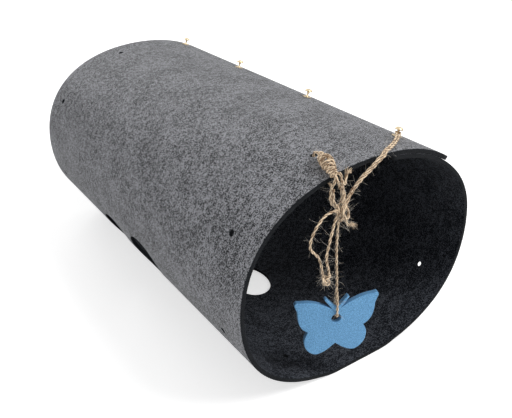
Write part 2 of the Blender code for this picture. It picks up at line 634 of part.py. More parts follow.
def main():
    clear_scene()
    grey_felt = material("grey_felt", (0.16, 0.165, 0.175), 0.95)
    blue_felt = material("blue_felt", (0.14, 0.30, 0.52), 0.95)
    brass = material("brass", (0.78, 0.66, 0.42), 0.28, 1.0)
    jute = material("jute_twine", (0.55, 0.40, 0.25), 0.9)

    felt = mesh_object("felt_sheet", felt_blank(), grey_felt, 25)
    cut_with(felt, mesh_object("felt_punches", punches(), grey_felt))
    build_studs(brass)

    swing_middle = 0.5 * (Vector(SWING_LEFT) + Vector(SWING_RIGHT))
    string_top = Vector((STRING_X, STRING_Y, STRING_TOP_Z))
    string_bottom = Vector((STRING_X, STRING_Y, STRING_BOTTOM_Z))
    toy_rest = Vector((STRING_X, STRING_Y, TOY_HOLE_Z + EYE_HANG))
    PIVOT_PLACES.update(bridle_pivot=swing_middle, string_pivot=string_top, eye_pivot=string_bottom,
                        toy_pivot=toy_rest)
    bridle = pivot("bridle_pivot", swing_middle)
    string = pivot("string_pivot", string_top, bridle)
    eye = pivot("eye_pivot", string_bottom, string)
    rock = pivot("toy_pivot", toy_rest, eye)

    twine("tie_loop", TIE_LOOP_ROUTE, jute, spacing=0.75 * TWINE_DIAMETER, ball_start=True, ball_finish=True)
    build_wrap(jute)
    twine("tie_tail", TIE_TAIL_ROUTE, jute, spacing=0.75 * TWINE_DIAMETER)
    twine("stud_sling", STUD_SLING_ROUTE, jute, spacing=TWINE_DIAMETER, ball_start=True, ball_finish=True)

    hanging = [
        twine("bridle_strand_left", BRIDLE_LEFT_ROUTE, jute, ball_start=True),
        twine("bridle_strand_right", BRIDLE_RIGHT_ROUTE, jute, ball_start=True),
        twine("sling_strand_upper", SLING_UPPER_ROUTE, jute, ball_start=True),
        twine("sling_strand_lower", SLING_LOWER_ROUTE, jute, ball_start=True),
        build_knot("main_knot", MAIN_KNOT_CENTRE, MAIN_KNOT_UNIT, jute),
        twine("loop_down", LOOP_DOWN_ROUTE, jute, spacing=2.0 * TWINE_DIAMETER),
        build_knot("loop_knot", LOOP_KNOT_CENTRE, LOOP_KNOT_UNIT, jute),
        twine("loop_up", LOOP_UP_ROUTE, jute, spacing=2.0 * TWINE_DIAMETER),
        twine("knot_tail", KNOT_TAIL_ROUTE, jute),
    ]
    for piece in hanging:
        hang_on(piece, bridle)
    hang_on(twine("toy_string", string_route(), jute, spacing=2.0 * TWINE_DIAMETER, ball_start=True), string)
    hang_on(tube("toy_eye", eye_points(), TWINE_DIAMETER, jute), eye)
    hang_on(build_toy(blue_felt, blue_felt), rock)


main()
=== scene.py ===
"""Looks of a felt pet tunnel: the rolled felt sheet, its brass studs, the jute twine and the felt butterfly.

Run it in Blender as a script.  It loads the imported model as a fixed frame, builds each piece with its own
operator, and sets up a plain studio.  Every length is in metres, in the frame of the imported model.
"""

import json
import math

import bmesh
import bpy
import numpy as np
from bpy.props import FloatProperty, FloatVectorProperty, IntProperty, PointerProperty
from mathutils import Matrix, Vector
from mathutils.geometry import delaunay_2d_cdt

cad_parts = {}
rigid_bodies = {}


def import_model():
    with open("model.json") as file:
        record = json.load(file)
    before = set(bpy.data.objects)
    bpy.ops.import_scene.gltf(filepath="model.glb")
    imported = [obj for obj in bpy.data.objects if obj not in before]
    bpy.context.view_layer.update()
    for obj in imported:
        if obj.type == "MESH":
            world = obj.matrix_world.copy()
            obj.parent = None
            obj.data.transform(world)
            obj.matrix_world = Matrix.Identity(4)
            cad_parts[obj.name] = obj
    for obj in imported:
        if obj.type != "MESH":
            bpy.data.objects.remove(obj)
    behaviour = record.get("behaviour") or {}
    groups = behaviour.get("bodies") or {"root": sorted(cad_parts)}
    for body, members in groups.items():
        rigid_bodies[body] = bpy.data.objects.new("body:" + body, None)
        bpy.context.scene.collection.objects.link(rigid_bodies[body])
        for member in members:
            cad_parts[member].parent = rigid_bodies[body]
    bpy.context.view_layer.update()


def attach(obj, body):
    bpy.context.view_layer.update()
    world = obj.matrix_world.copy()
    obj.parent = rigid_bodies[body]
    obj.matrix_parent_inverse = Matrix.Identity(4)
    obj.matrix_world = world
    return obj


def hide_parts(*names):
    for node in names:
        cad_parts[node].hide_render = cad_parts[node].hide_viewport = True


bl_info = {
    "name": "Felt pet tunnel",
    "version": (1, 0, 0),
    "blender": (4, 5, 0),
    "location": "View3D > Sidebar > Pet tunnel",
    "description": "Builds a rolled felt pet tunnel with brass studs, jute twine and a felt butterfly",
    "category": "Object",
}

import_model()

# Routes of the twine: points in metres, from the start of each stretch to its end
TIE_LOOP = (
    (-0.0515, -0.2535, 0.2270), (-0.0513, -0.2526, 0.2284), (-0.0503, -0.2490, 0.2288),
    (-0.0484, -0.2400, 0.2293), (-0.0450, -0.2300, 0.2300), (-0.0410, -0.2200, 0.2307),
    (-0.0381, -0.2140, 0.2306), (-0.0366, -0.2108, 0.2322), (-0.0363, -0.2100, 0.2352),
    (-0.0366, -0.2103, 0.2384), (-0.0369, -0.2118, 0.2410), (-0.0376, -0.2148, 0.2425),
    (-0.0384, -0.2187, 0.2426), (-0.0392, -0.2225, 0.2422), (-0.0446, -0.2391, 0.2407),
    (-0.0500, -0.2556, 0.2392), (-0.0505, -0.2578, 0.2384), (-0.0504, -0.2592, 0.2362),
    (-0.0490, -0.2590, 0.2336), (-0.0467, -0.2573, 0.2311), (-0.0445, -0.2550, 0.2291),
    (-0.0428, -0.2536, 0.2276))
TIE_TAIL = (
    (-0.0460, -0.2577, 0.2400), (-0.0453, -0.2580, 0.2390), (-0.0446, -0.2579, 0.2372),
    (-0.0441, -0.2584, 0.2338), (-0.0434, -0.2592, 0.2306), (-0.0420, -0.2595, 0.2294),
    (-0.0406, -0.2593, 0.2310), (-0.0399, -0.2589, 0.2345), (-0.0386, -0.2586, 0.2380),
    (-0.0362, -0.2585, 0.2397), (-0.0341, -0.2585, 0.2386))
STUD_SLING = (
    (-0.0133, -0.2535, 0.2285), (-0.0058, -0.2535, 0.2329), (0.0003, -0.2535, 0.2373),
    (0.0048, -0.2534, 0.2400), (0.0088, -0.2522, 0.2412), (0.0122, -0.2500, 0.2415),
    (0.0182, -0.2460, 0.2410), (0.0247, -0.2430, 0.2404), (0.0316, -0.2393, 0.2396),
    (0.0395, -0.2344, 0.2385), (0.0489, -0.2277, 0.2367), (0.0600, -0.2185, 0.2339),
    (0.0662, -0.2127, 0.2336), (0.0694, -0.2084, 0.2332), (0.0715, -0.2072, 0.2325),
    (0.0735, -0.2084, 0.2317), (0.0737, -0.2106, 0.2316), (0.0720, -0.2126, 0.2320),
    (0.0618, -0.2205, 0.2340), (0.0505, -0.2299, 0.2368), (0.0411, -0.2366, 0.2385),
    (0.0330, -0.2417, 0.2396), (0.0259, -0.2454, 0.2404), (0.0194, -0.2484, 0.2410),
    (0.0152, -0.2507, 0.2412), (0.0122, -0.2527, 0.2401), (0.0082, -0.2535, 0.2383),
    (0.0022, -0.2535, 0.2348), (-0.0047, -0.2535, 0.2303), (-0.0075, -0.2535, 0.2288))
BRIDLE_LEFT = (
    (-0.0515, -0.2535, 0.2240), (-0.0521, -0.2536, 0.2205), (-0.0524, -0.2538, 0.2160),
    (-0.0510, -0.2539, 0.2110), (-0.0480, -0.2540, 0.2075), (-0.0458, -0.2540, 0.2060))
BRIDLE_RIGHT = (
    (-0.0421, -0.2535, 0.2247), (-0.0408, -0.2537, 0.2215), (-0.0396, -0.2540, 0.2175),
    (-0.0393, -0.2542, 0.2135), (-0.0406, -0.2542, 0.2095), (-0.0423, -0.2540, 0.2064))
SLING_UPPER = (
    (-0.0158, -0.2535, 0.2270), (-0.0201, -0.2536, 0.2234), (-0.0255, -0.2538, 0.2188),
    (-0.0301, -0.2540, 0.2141), (-0.0331, -0.2541, 0.2096), (-0.0346, -0.2541, 0.2062))
SLING_LOWER = (
    (-0.0100, -0.2535, 0.2274), (-0.0156, -0.2536, 0.2243), (-0.0219, -0.2538, 0.2194),
    (-0.0271, -0.2540, 0.2144), (-0.0309, -0.2541, 0.2092), (-0.0330, -0.2541, 0.2038))
LOOP_DOWN = (
    (-0.0458, -0.2554, 0.2024), (-0.0508, -0.2568, 0.2038), (-0.0579, -0.2580, 0.2042),
    (-0.0636, -0.2590, 0.2030), (-0.0694, -0.2600, 0.1992), (-0.0752, -0.2610, 0.1936),
    (-0.0791, -0.2615, 0.1862), (-0.0802, -0.2620, 0.1788), (-0.0764, -0.2623, 0.1728),
    (-0.0712, -0.2625, 0.1664), (-0.0682, -0.2626, 0.1580), (-0.0666, -0.2628, 0.1500),
    (-0.0653, -0.2630, 0.1436))
LOOP_UP = (
    (-0.0585, -0.2630, 0.1442), (-0.0600, -0.2640, 0.1500), (-0.0640, -0.2662, 0.1590),
    (-0.0652, -0.2668, 0.1672), (-0.0625, -0.2652, 0.1738), (-0.0580, -0.2625, 0.1803),
    (-0.0535, -0.2600, 0.1869), (-0.0488, -0.2572, 0.1928), (-0.0441, -0.2551, 0.1959))
KNOT_TAIL = (
    (-0.0369, -0.2573, 0.1914), (-0.0356, -0.2580, 0.1880), (-0.0337, -0.2586, 0.1852),
    (-0.0314, -0.2590, 0.1846), (-0.0296, -0.2592, 0.1866))
TOY_STRING = (
    (-0.0420, -0.2540, 0.1873), (-0.0426, -0.2540, 0.1722), (-0.0427, -0.2541, 0.1572),
    (-0.0418, -0.2540, 0.1421), (-0.0406, -0.2540, 0.1271), (-0.0402, -0.2540, 0.1120))
# Further strands of the tie and the hanging knot, which only the looks have
EDGE_STRAND = (
    (-0.0482, -0.2520, 0.2412), (-0.0502, -0.2560, 0.2404), (-0.0516, -0.2584, 0.2386),
    (-0.0524, -0.2590, 0.2354), (-0.0524, -0.2578, 0.2318), (-0.0520, -0.2556, 0.2286),
    (-0.0516, -0.2540, 0.2262))
SECOND_LEFT = (
    (-0.0500, -0.2548, 0.2250), (-0.0500, -0.2550, 0.2205), (-0.0502, -0.2552, 0.2160),
    (-0.0490, -0.2553, 0.2115), (-0.0466, -0.2556, 0.2080), (-0.0440, -0.2560, 0.2040),
    (-0.0425, -0.2575, 0.1995))
SECOND_RIGHT = (
    (-0.0398, -0.2545, 0.2262), (-0.0386, -0.2546, 0.2215), (-0.0374, -0.2548, 0.2175),
    (-0.0371, -0.2552, 0.2135), (-0.0376, -0.2560, 0.2095), (-0.0386, -0.2572, 0.2050),
    (-0.0398, -0.2584, 0.2005), (-0.0412, -0.2586, 0.1965), (-0.0420, -0.2572, 0.1930),
    (-0.0420, -0.2552, 0.1900))
FRONT_LOOP = (
    (-0.0412, -0.2558, 0.2260), (-0.0402, -0.2562, 0.2210), (-0.0396, -0.2566, 0.2165),
    (-0.0395, -0.2570, 0.2120), (-0.0408, -0.2576, 0.2075), (-0.0420, -0.2588, 0.2030),
    (-0.0412, -0.2606, 0.1985), (-0.0392, -0.2608, 0.1945), (-0.0366, -0.2600, 0.1930),
    (-0.0346, -0.2590, 0.1955), (-0.0346, -0.2582, 0.2000), (-0.0362, -0.2576, 0.2040),
    (-0.0384, -0.2566, 0.2072))
# The eye through the toy: out from the middle of the toy's felt, up from the centre of its hole
TOY_EYE = (
    (-0.00137, 0.0314), (-0.0017, 0.0285), (-0.0029, 0.0225), (-0.0041, 0.0155), (-0.0042, 0.0085),
    (-0.0042, 0.0052), (-0.0034, 0.0036), (-0.0017, 0.0033), (0.0017, 0.0033), (0.0034, 0.0036),
    (0.0042, 0.0052), (0.0042, 0.0085), (0.0041, 0.0155), (0.0029, 0.0225), (0.0017, 0.0285),
    (0.00137, 0.0314))
WRAP_REAR, WRAP_FRONT = (-0.0392, -0.2225, 0.2422), (-0.0500, -0.2556, 0.2392)
MAIN_KNOT, MAIN_KNOT_UNIT = (-0.0400, -0.2540, 0.1990), (0.0016, 0.0020, 0.0029)
LOOP_KNOT, LOOP_KNOT_UNIT = (-0.0615, -0.2630, 0.1385), (0.0015, 0.0018, 0.0018)

# The toy, about the centre of its hole
TOY_HOLE = (-0.0400, -0.2540, 0.0803)
TOY_TURN_DEGREES = -22.2
# Half outline in shares of the toy's half width: across, up
ANTENNA_SHARES = ((0.0, 0.295), (0.255, 0.600), (0.300, 0.560), (0.100, 0.275))
WING_SHARES = (
    ((0.100, 0.275), (0.280, 0.395), (0.480, 0.490), (0.675, 0.550), (0.870, 0.572), (0.955, 0.590)),
    ((0.955, 0.590), (1.0, 0.530), (0.975, 0.425), (0.935, 0.310), (0.925, 0.190), (0.905, 0.035),
     (0.855, -0.110), (0.775, -0.225), (0.675, -0.300)),
    ((0.675, -0.300), (0.727, -0.407), (0.760, -0.560), (0.730, -0.753), (0.635, -0.904),
     (0.499, -0.993), (0.365, -0.984), (0.200, -0.901), (0.0, -0.737)))

# Windows in the wall: arc from the bottom centre line, distance from the mouth, and half their size both ways
WINDOWS = ((-0.1555, 0.306), (-0.1655, 0.220), (-0.017, 0.190))
WINDOW_RADII = (0.0245, 0.035)
# Holes in each of the two rows, and the radii of the holes
TIE_HOLES, TIE_HOLE_RADIUS, STUD_HOLE_RADIUS = 7, 0.003, 0.0025

# The felt: points along its section, the band at each end where the nap stands up, and how softly that ends
SECTION_STEPS = 2880
NAP_BAND, NAP_EASE = 0.012, 0.030
# Its cut edges: how ragged they are, the turns in radians of their rounding and the heights of the flat part
RAGGED_EDGE = 0.00006
EDGE_TURNS, EDGE_SHARES = (0.45, 1.0, 1.45), (0.35, 0.5, 0.65)
# In shares of the thickness: where the outer face's colour ends, how softly, and how softly a cut edge begins
FACE_END_SHARE, FACE_EASE_SHARE, INNER_SHARE, RIM_EASE_SHARE, TOY_RIM_EASE_SHARE = 0.02, 0.16, 0.05, 0.05, 0.10
# Share of loose fibres on the faces, the further share on the cut edges, and the height from the floor under which
# none stand
FACE_FUZZ, RIM_FUZZ, TOY_FACE_FUZZ, FLOOR_RUB = 0.16, 1.4, 0.25, 0.004
# The toy's felt: the steps along its outline and between the points of its mesh, and the radius at its cut edges
TOY_STEP, TOY_MESH_STEP, TOY_EDGE_ROUND = 0.0012, 0.0016, 0.0006

# Loose fibres: how many on a square metre, how long and thick, how far they lean and curl
FELT_HAIR = {"density": 60000.0, "length": 0.0026, "thickness": 0.00003, "lean": 0.9, "curl": 0.9}
TOY_HAIR = {"density": 250000.0, "length": 0.0016, "thickness": 0.000025, "lean": 0.9, "curl": 0.9}
TWINE_HAIR = {"length": 0.0095, "thickness": 0.000070, "lean": 1.0, "curl": 0.20}
FRAY_HAIR = {"density": 3.0e7, "length": 0.0080, "thickness": 0.00009, "lean": 0.40, "curl": 0.30}
# One fibre's bend, from its root to its tip, in shares of its length
HAIR_BEND = {"Start": (0.0, 0.0, -0.06), "Middle": (0.0, 0.0, 0.55), "End": (0.24, 0.0, 0.98)}
# Share of the usual loose fibres on the twine whose name holds a word, and on the rest of it
FUZZ_SHARES, PLAIN_FUZZ_SHARE = {"wrap": 0.12, "knot": 2.4, "sling": 0.35}, 0.65
# The root of a frayed end: its radius, and how far it lies back from the end
FRAY_RADIUS, FRAY_SETBACK = 0.0010, 0.0016

# Twine: how far its stretches run on past their solids, and how far apart its points are
EDGE_RUN, KNOT_RUN, LOOP_RUN, TAIL_RUN, STRING_RUN, WRAP_RUN = 0.0016, 0.0020, 0.0010, 0.0008, 0.0030, 0.0024
TWINE_STEP, CORD_STEP, EYE_STEP = 0.0004, 0.0010, 0.0002
# In shares of the twine's thickness: the plies' distance from its middle, their radius and the step along them,
# the height of their ridges, how far from the middle the groove's floor lies, and how high the groove is
PLY_REACH_SHARE, PLY_RADIUS_SHARE, PLY_STEP_SHARE, RIDGE_SHARE = 0.215, 0.29, 0.17, 0.20
# The painted shade between the plies is full below the groove's floor and fades out over the groove's height
GROOVE_FLOOR_SHARE, GROOVE_RISE_SHARE = 0.22, 0.17
# For each metre: how fast the plies' thickness changes, how far their own fibres turn in radians, and how dense
# the ridges lie across and along a ply
UNEVEN_RATE, YARN_TWIST, RIDGE_RATES = 260.0, 420.0, (2600.0, 2600.0, 260.0)
# How unevenly the plies are laid, in radians, and how thin and how much thicker they get, in shares of their radius
UNEVEN_TWIST, THIN_SHARE, THICKER_SHARE = 1.2, 0.79, 0.45

# The tie's winding: its radius at the start, at its belly and at the end, where the belly lies, how far its axis
# is set down, and the waves that make it uneven, each a size, a rate over its length and a phase
WRAP_RADII, WRAP_BELLY_SHARE = (0.0032, 0.0054, 0.0029), 0.45
WRAP_CORE_DROP = 0.0030
WRAP_TILT_WAVES = ((0.42, 9.0, 0.6), (0.25, 23.0, 0.0))
WRAP_LIFT_WAVES = ((0.0004, 31.0, 0.0), (0.0003, 53.0, 0.0))

# Studs and screws: sizes outwards from the middle and from the felt.  A rim's points are shares of the head's
# radius and heights; the screw's points are radii and depths into its stud.
SEAT_GAP = 0.0003
SHANK_RADIUS, BORE_RADIUS, BORE_DEPTH = 0.0022, 0.0015, 0.006
FLANGE_TOP, FLANGE_SIDE, FLANGE_ROUND = 0.0009, 0.0004, 0.0003
NECK_RISE, NECK_FLARE, NECK_TAPER, NECK_WAIST_SHARE, NECK_POWER = 0.0056, 0.00085, 0.0001, 0.9, 3.2
HEAD_RIM = ((0.55, 0.00005), (0.93, 0.0001), (0.99, 0.0003), (1.0, 0.0006))
HEAD_DOME = 0.0024
SCREW_SHANK = ((0.0, 0.0055), (0.0008, 0.0055), (0.00115, 0.0051), (0.00115, 0.0), (0.0043, 0.0),
               (0.0045, -0.0002), (0.0045, -0.0007))
SCREW_DOME = -0.001
# How far a screw's head presses into the nap
HEAD_PRESS = 0.0003
# The screws' slots: their size, how far they lie from the head's seat, and their turns in radians
SLOT_SIZE, SLOT_DROP, SLOT_TURN, SLOT_TURN_STEP = (0.02, 0.0012, 0.0018), 0.0020, 0.6, 1.1
TURNED_SIDES, SHARP_DEGREES, MERGE_DISTANCE = 48, 32, 0.000002

# Points that are worked on at once, and the bare margin along a plate's edges in shares of its mesh step
BLOCK, GRID_MARGIN_SHARE = 2000, 0.35

# Fibres in the felt's surface: the angles in degrees at which they cross, and how deep one layer of them goes
FIBRE_TURNS, FIBRE_LAYER = (14.0, 49.0, 86.0, 121.0, 158.0), 0.004

# The studio: the camera's place, its turns in degrees and its lens, and each lamp's place and aim
CAMERA_PLACE, CAMERA_LENS, SENSOR_WIDTH = (-0.3858, -0.6402, 0.4895), 46.26, 36.0
CAMERA_YAW, CAMERA_PITCH, CAMERA_ROLL = 33.46, 29.12, -1.42
LAMPS = {"key": ((0.85, -1.15, 1.6), (0.0, -0.1, 0.12)), "fill": ((-1.7, 0.1, 0.25), (-0.1, 0.0, 0.08)),
         "rear": ((0.2, 1.6, 0.9), (0.0, 0.1, 0.12))}
LAMP_SIZE = 1.0
FLOOR_HALF, FLOOR_DROP, FLOOR_SHADE, FLOOR_GLOW = 6.0, 0.0002, 0.80, 0.58


# Sizes and colours that a user can change

def metres(name, description, default):
    return FloatProperty(name=name, description=description, default=default, unit="LENGTH", precision=5)


def number(name, description, default):
    return FloatProperty(name=name, description=description, default=default)


def whole_number(name, description, default):
    return IntProperty(name=name, description=description, default=default)


def colour(name, description, default):
    return FloatVectorProperty(name=name, description=description, default=default, subtype="COLOR", size=3,
                               min=0.0, max=1.0)


class FeltSettings(bpy.types.PropertyGroup):
    length: metres("Length", "Length of the tunnel along its axis", 0.500)
    width: metres("Width", "Width of the tunnel", 0.295)
    height: metres("Height", "Height of the tunnel", 0.240)
    shoulder: number("Shoulder", "How far the section bulges at its shoulders, as a share", 0.039)
    foot_sink: metres("Foot sink", "How far the round section would reach below the floor", 0.0015)
    foot_half: metres("Foot half width", "Half the width of the strip that the weight presses flat", 0.020)
    foot_ease: metres("Foot ease", "Width over which the flat strip turns into the round", 0.035)
    thickness: metres("Felt thickness", "Thickness of the felt with its nap", 0.0047)
    nap_share: number("Nap share", "Share of the thickness that only the raised nap makes", 0.15)
    front_margin: metres("Front margin", "Distance of the first stud and the tie holes from the mouth", 0.040)
    rear_margin: metres("Rear margin", "Distance of the rear tie holes from the far end", 0.030)
    layer_gap: metres("Layer gap", "Gap between the two layers of the overlap", 0.0001)
    stud_line: metres("Stud line", "Distance of the row of studs from the top centre line", 0.071)
    flap_margin: metres("Flap margin", "Felt beyond the studs on the outer layer", 0.036)
    inner_margin: metres("Inner margin", "Felt beyond the studs on the inner layer", 0.045)
    tuck_run: metres("Tuck run", "Length over which the inner layer dips under the flap", 0.090)
    flap_run: metres("Flap run", "Length of the flap that stands off the layer below", 0.022)
    flap_rise: metres("Flap rise", "How far the flap's free end stands off", 0.0003)
    edge_round: metres("Edge rounding", "Radius at the edges of the cut felt", 0.0006)
    mesh_step: metres("Mesh step", "Distance between the points of the felt's mesh", 0.0052)
    outer_dark: colour("Outer dark", "Darkest fibres of the outer face", (0.006, 0.007, 0.009))
    outer_light: colour("Outer light", "Lightest fibres of the outer face", (0.335, 0.340, 0.365))
    inner_dark: colour("Inner dark", "Darkest fibres of the inner face", (0.0015, 0.0025, 0.005))
    inner_light: colour("Inner light", "Lightest fibres of the inner face", (0.086, 0.094, 0.112))


class TwineSettings(bpy.types.PropertyGroup):
    gauge: metres("Gauge", "Nominal thickness of the jute twine", 0.0024)
    thickness: metres("Full thickness", "Thickness of the twine with its raised fibres", 0.0026)
    sling_thickness: metres("Sling thickness", "Thickness of the twine where it is pulled tight", 0.0024)
    knot_thickness: metres("Knot thickness", "Thickness of the twine where a knot bulges it", 0.0030)
    lay: metres("Lay", "Length of one full turn of the twine's plies", 0.0135)
    wrap_turns: number("Wrap turns", "Turns of the winding over the tie", 10.1)
    fibres: whole_number("Loose fibres", "Loose fibres on each square centimetre of twine", 9)
    plies: whole_number("Plies", "Yarns twisted together in the twine", 2)
    # The dark colour is both the twine's brown fibres and the painted shade in its grooves
    dark: colour("Twine dark", "Colour of the twine in its grooves", (0.16, 0.080, 0.036))
    light: colour("Twine light", "Colour of the twine's raised fibres", (1.0, 0.80, 0.57))


class StudSettings(bpy.types.PropertyGroup):
    count: whole_number("Studs", "Number of studs in the row", 4)
    last_margin: metres("Last stud's margin", "Distance of the last stud from the far end", 0.022)
    head: metres("Head diameter", "Diameter of a stud's head", 0.0088)
    flange: metres("Flange diameter", "Diameter of a stud's flange", 0.0100)
    neck: metres("Neck diameter", "Thinnest diameter of a stud's neck", 0.0019)
    brass: colour("Brass", "Colour of the studs and screws", (0.80, 0.65, 0.43))


class ToySettings(bpy.types.PropertyGroup):
    half_width: metres("Half width", "Half the width of the butterfly", 0.0425)
    thickness: metres("Toy thickness", "Thickness of the butterfly's felt", 0.005)
    hole: metres("Hole", "Diameter of the hole for the twine", 0.0099)
    # The toy's darkest colour also paints the shade on its cut edge.
    dark: colour("Toy dark", "Darkest fibres of the butterfly", (0.080, 0.240, 0.495))
    light: colour("Toy light", "Lightest fibres of the butterfly", (0.240, 0.545, 0.88))


class StageSettings(bpy.types.PropertyGroup):
    world: number("World light", "Strength of the light from all round", 0.46)
    key: number("Key light", "Power of the front lamp in watts", 24.0)
    fill: number("Fill light", "Power of the side lamp in watts", 7.5)
    rear: number("Rear light", "Power of the lamp behind in watts", 7.0)


# Node trees

class Value:
    """A socket that takes part in sums: an expression on it adds Math nodes."""

    def __init__(self, nodes, socket):
        self.nodes, self.socket = nodes, socket

    def math(self, operation, *values):
        return self.nodes.add("ShaderNodeMath", {"operation": operation}, dict(enumerate((self, *values))))

    def of(self, name):
        """Another output of the same node."""
        return Value(self.nodes, self.socket.node.outputs[name])

    def __add__(self, other):
        return self.math("ADD", other)

    def __sub__(self, other):
        return self.math("SUBTRACT", other)

    def __rsub__(self, other):
        return self.nodes.add("ShaderNodeMath", {"operation": "SUBTRACT"}, {0: other, 1: self})

    def __mul__(self, other):
        return self.math("MULTIPLY", other)

    def __truediv__(self, other):
        return self.math("DIVIDE", other)

    def __pow__(self, other):
        return self.math("POWER", other)

    __radd__, __rmul__ = __add__, __mul__

    def ramp(self, low, high):
        """0 below low, 1 above high, and smooth between them."""
        return self.nodes.add("ShaderNodeMapRange", {"interpolation_type": "SMOOTHSTEP"},
                              {"Value": self, "From Min": low, "From Max": high})


class Nodes:
    """Adds nodes to one tree."""

    def __init__(self, tree):
        self.tree = tree

    def add(self, kind, settings=None, sockets=None, out=0):
        """A new node with its settings and its sockets' values or links; gives one of its outputs."""
        node = self.tree.nodes.new(kind)
        for name, value in (settings or {}).items():
            setattr(node, name, value)
        for key, value in (sockets or {}).items():
            if isinstance(value, Value):
                self.tree.links.new(value.socket, node.inputs[key])
            else:
                node.inputs[key].default_value = value
        return Value(self, node.outputs[out]) if len(node.outputs) else node

    def mix(self, factor, first, second):
        """A mix of two colours."""
        first, second = ((*item, 1.0) if isinstance(item, tuple) else item for item in (first, second))
        return self.add("ShaderNodeMix", {"data_type": "RGBA"}, {0: factor, 6: first, 7: second}, 2)

    def vector(self, operation, *values, **scale):
        sockets = dict(enumerate(values))
        sockets.update({"Scale": value for value in scale.values()})
        return self.add("ShaderNodeVectorMath", {"operation": operation}, sockets)

    def attribute(self, name, out="Vector"):
        return self.add("ShaderNodeAttribute", {"attribute_name": name}, out=out)

    def place(self):
        """Coordinates of the piece's own object."""
        return self.add("ShaderNodeTexCoord", out="Object")

    def noise(self, vector, scale=1.0, detail=2.0, roughness=0.5, out=0):
        return self.add("ShaderNodeTexNoise", {}, {"Vector": vector, "Scale": scale, "Detail": detail,
                                                   "Roughness": roughness}, out)

    def drift(self, vector, scale, detail):
        """A random direction at each place, none on average."""
        return self.vector("SUBTRACT", self.noise(vector, scale, detail, out=1), (0.5, 0.5, 0.5))

    def stretched(self, vector, sizes, turn_degrees=0.0, place=(0.0, 0.0, 0.0)):
        """Coordinates in units of a grain of these sizes, which lies at an angle."""
        return self.add("ShaderNodeMapping", {"vector_type": "TEXTURE"}, {"Vector": vector, "Location": place,
                        "Rotation": (0.0, 0.0, math.radians(turn_degrees)), "Scale": sizes})


class Material(Nodes):
    """A new material's nodes; finish gives it its shader and output."""

    def __init__(self, name):
        self.material = bpy.data.materials.new(name)
        self.material.use_nodes = True
        self.material.node_tree.nodes.clear()
        super().__init__(self.material.node_tree)

    def output(self, surface):
        self.add("ShaderNodeOutputMaterial", {}, {"Surface": surface})
        return self.material

    def finish(self, base, roughness, height=None, bump=0.0, depth=0.0, metallic=0.0, sheen=0.0,
               sheen_roughness=0.5, specular=0.5):
        """Gives the material its colour and gloss, and a bump of this strength and depth on its height."""
        sockets = {"Base Color": base, "Roughness": roughness, "Metallic": metallic, "Sheen Weight": sheen,
                   "Sheen Roughness": sheen_roughness, "Specular IOR Level": specular}
        if height is not None:
            sockets["Normal"] = self.add("ShaderNodeBump", {}, {"Strength": bump, "Distance": depth,
                                                                "Height": height})
        return self.output(self.add("ShaderNodeBsdfPrincipled", {}, sockets))


def fibre_lines(nodes, flat, width, run, half):
    """Long thin fibres that cross at several angles: 1 along a fibre, 0 beside it.

    Each set is where a stretched noise passes its middle value, so it gives wandering lines.
    """
    bent = nodes.vector("ADD", flat, nodes.vector("SCALE", nodes.drift(flat, 130.0, 2.0), scale=0.45 * run))
    total = None
    for turn in FIBRE_TURNS:
        laid = nodes.stretched(bent, (run, width, FIBRE_LAYER), turn, (turn * 0.01, 0.0, 0.0))
        streak = nodes.noise(laid, detail=1.0)
        line = 1.0 - (streak - 0.5).math("ABSOLUTE").ramp(0.0, half)
        total = line if total is None else total.math("MAXIMUM", line)
    return total


def felt_shade(nodes):
    """Fibres and blotches of the grey felt, from 0 to 1, and the height of its fibres."""
    flat = nodes.attribute("flat")
    coarse = fibre_lines(nodes, flat, width=0.0021, run=0.0085, half=0.042)
    fine = fibre_lines(nodes, flat, width=0.0012, run=0.0048, half=0.042)
    noises = ((640.0, 1.0, 0.5), (170.0, 3.0, 0.65), (26.0, 3.0, 0.6))
    grain, blotch, cloud = (nodes.noise(flat, *noise).ramp(0.36, 0.64) for noise in noises)
    lines = coarse * (0.55 + blotch * 0.45)
    return lines * 0.34 + fine * 0.19 + grain * 0.31 + blotch * 0.08 + cloud * 0.08, coarse * 0.5 + fine * 0.5


def outer_felt(settings):
    """Grey melange felt: light fibres over dark ones."""
    nodes = Material("grey_melange_felt")
    shade, height = felt_shade(nodes)
    base = nodes.mix(shade.ramp(0.345, 0.675), tuple(settings.outer_dark), tuple(settings.outer_light))
    return nodes.finish(base, 0.96, height, bump=0.40, depth=0.0004, sheen=0.35, sheen_roughness=0.40,
                        specular=0.15)


def inner_felt(settings):
    """Charcoal felt of the inner face and the cut edges."""
    nodes = Material("charcoal_felt")
    shade, height = felt_shade(nodes)
    face = nodes.mix(shade.ramp(0.36, 0.76), tuple(settings.inner_dark), tuple(settings.inner_light))
    edge = nodes.mix(shade, (0.004, 0.005, 0.006), (0.024, 0.026, 0.030))
    base = nodes.mix(nodes.attribute("rim", "Fac"), face, edge)
    return nodes.finish(base, 0.97, height, bump=0.45, depth=0.0004, sheen=0.03, specular=0.10)


def fuzz_material(name, dark, light):
    """Loose fibres, each a little different."""
    nodes = Material(name)
    base = nodes.mix(nodes.noise(nodes.place(), 900.0, 1.0).ramp(0.3, 0.7), dark, light)
    return nodes.finish(base, 0.9, specular=0.2)


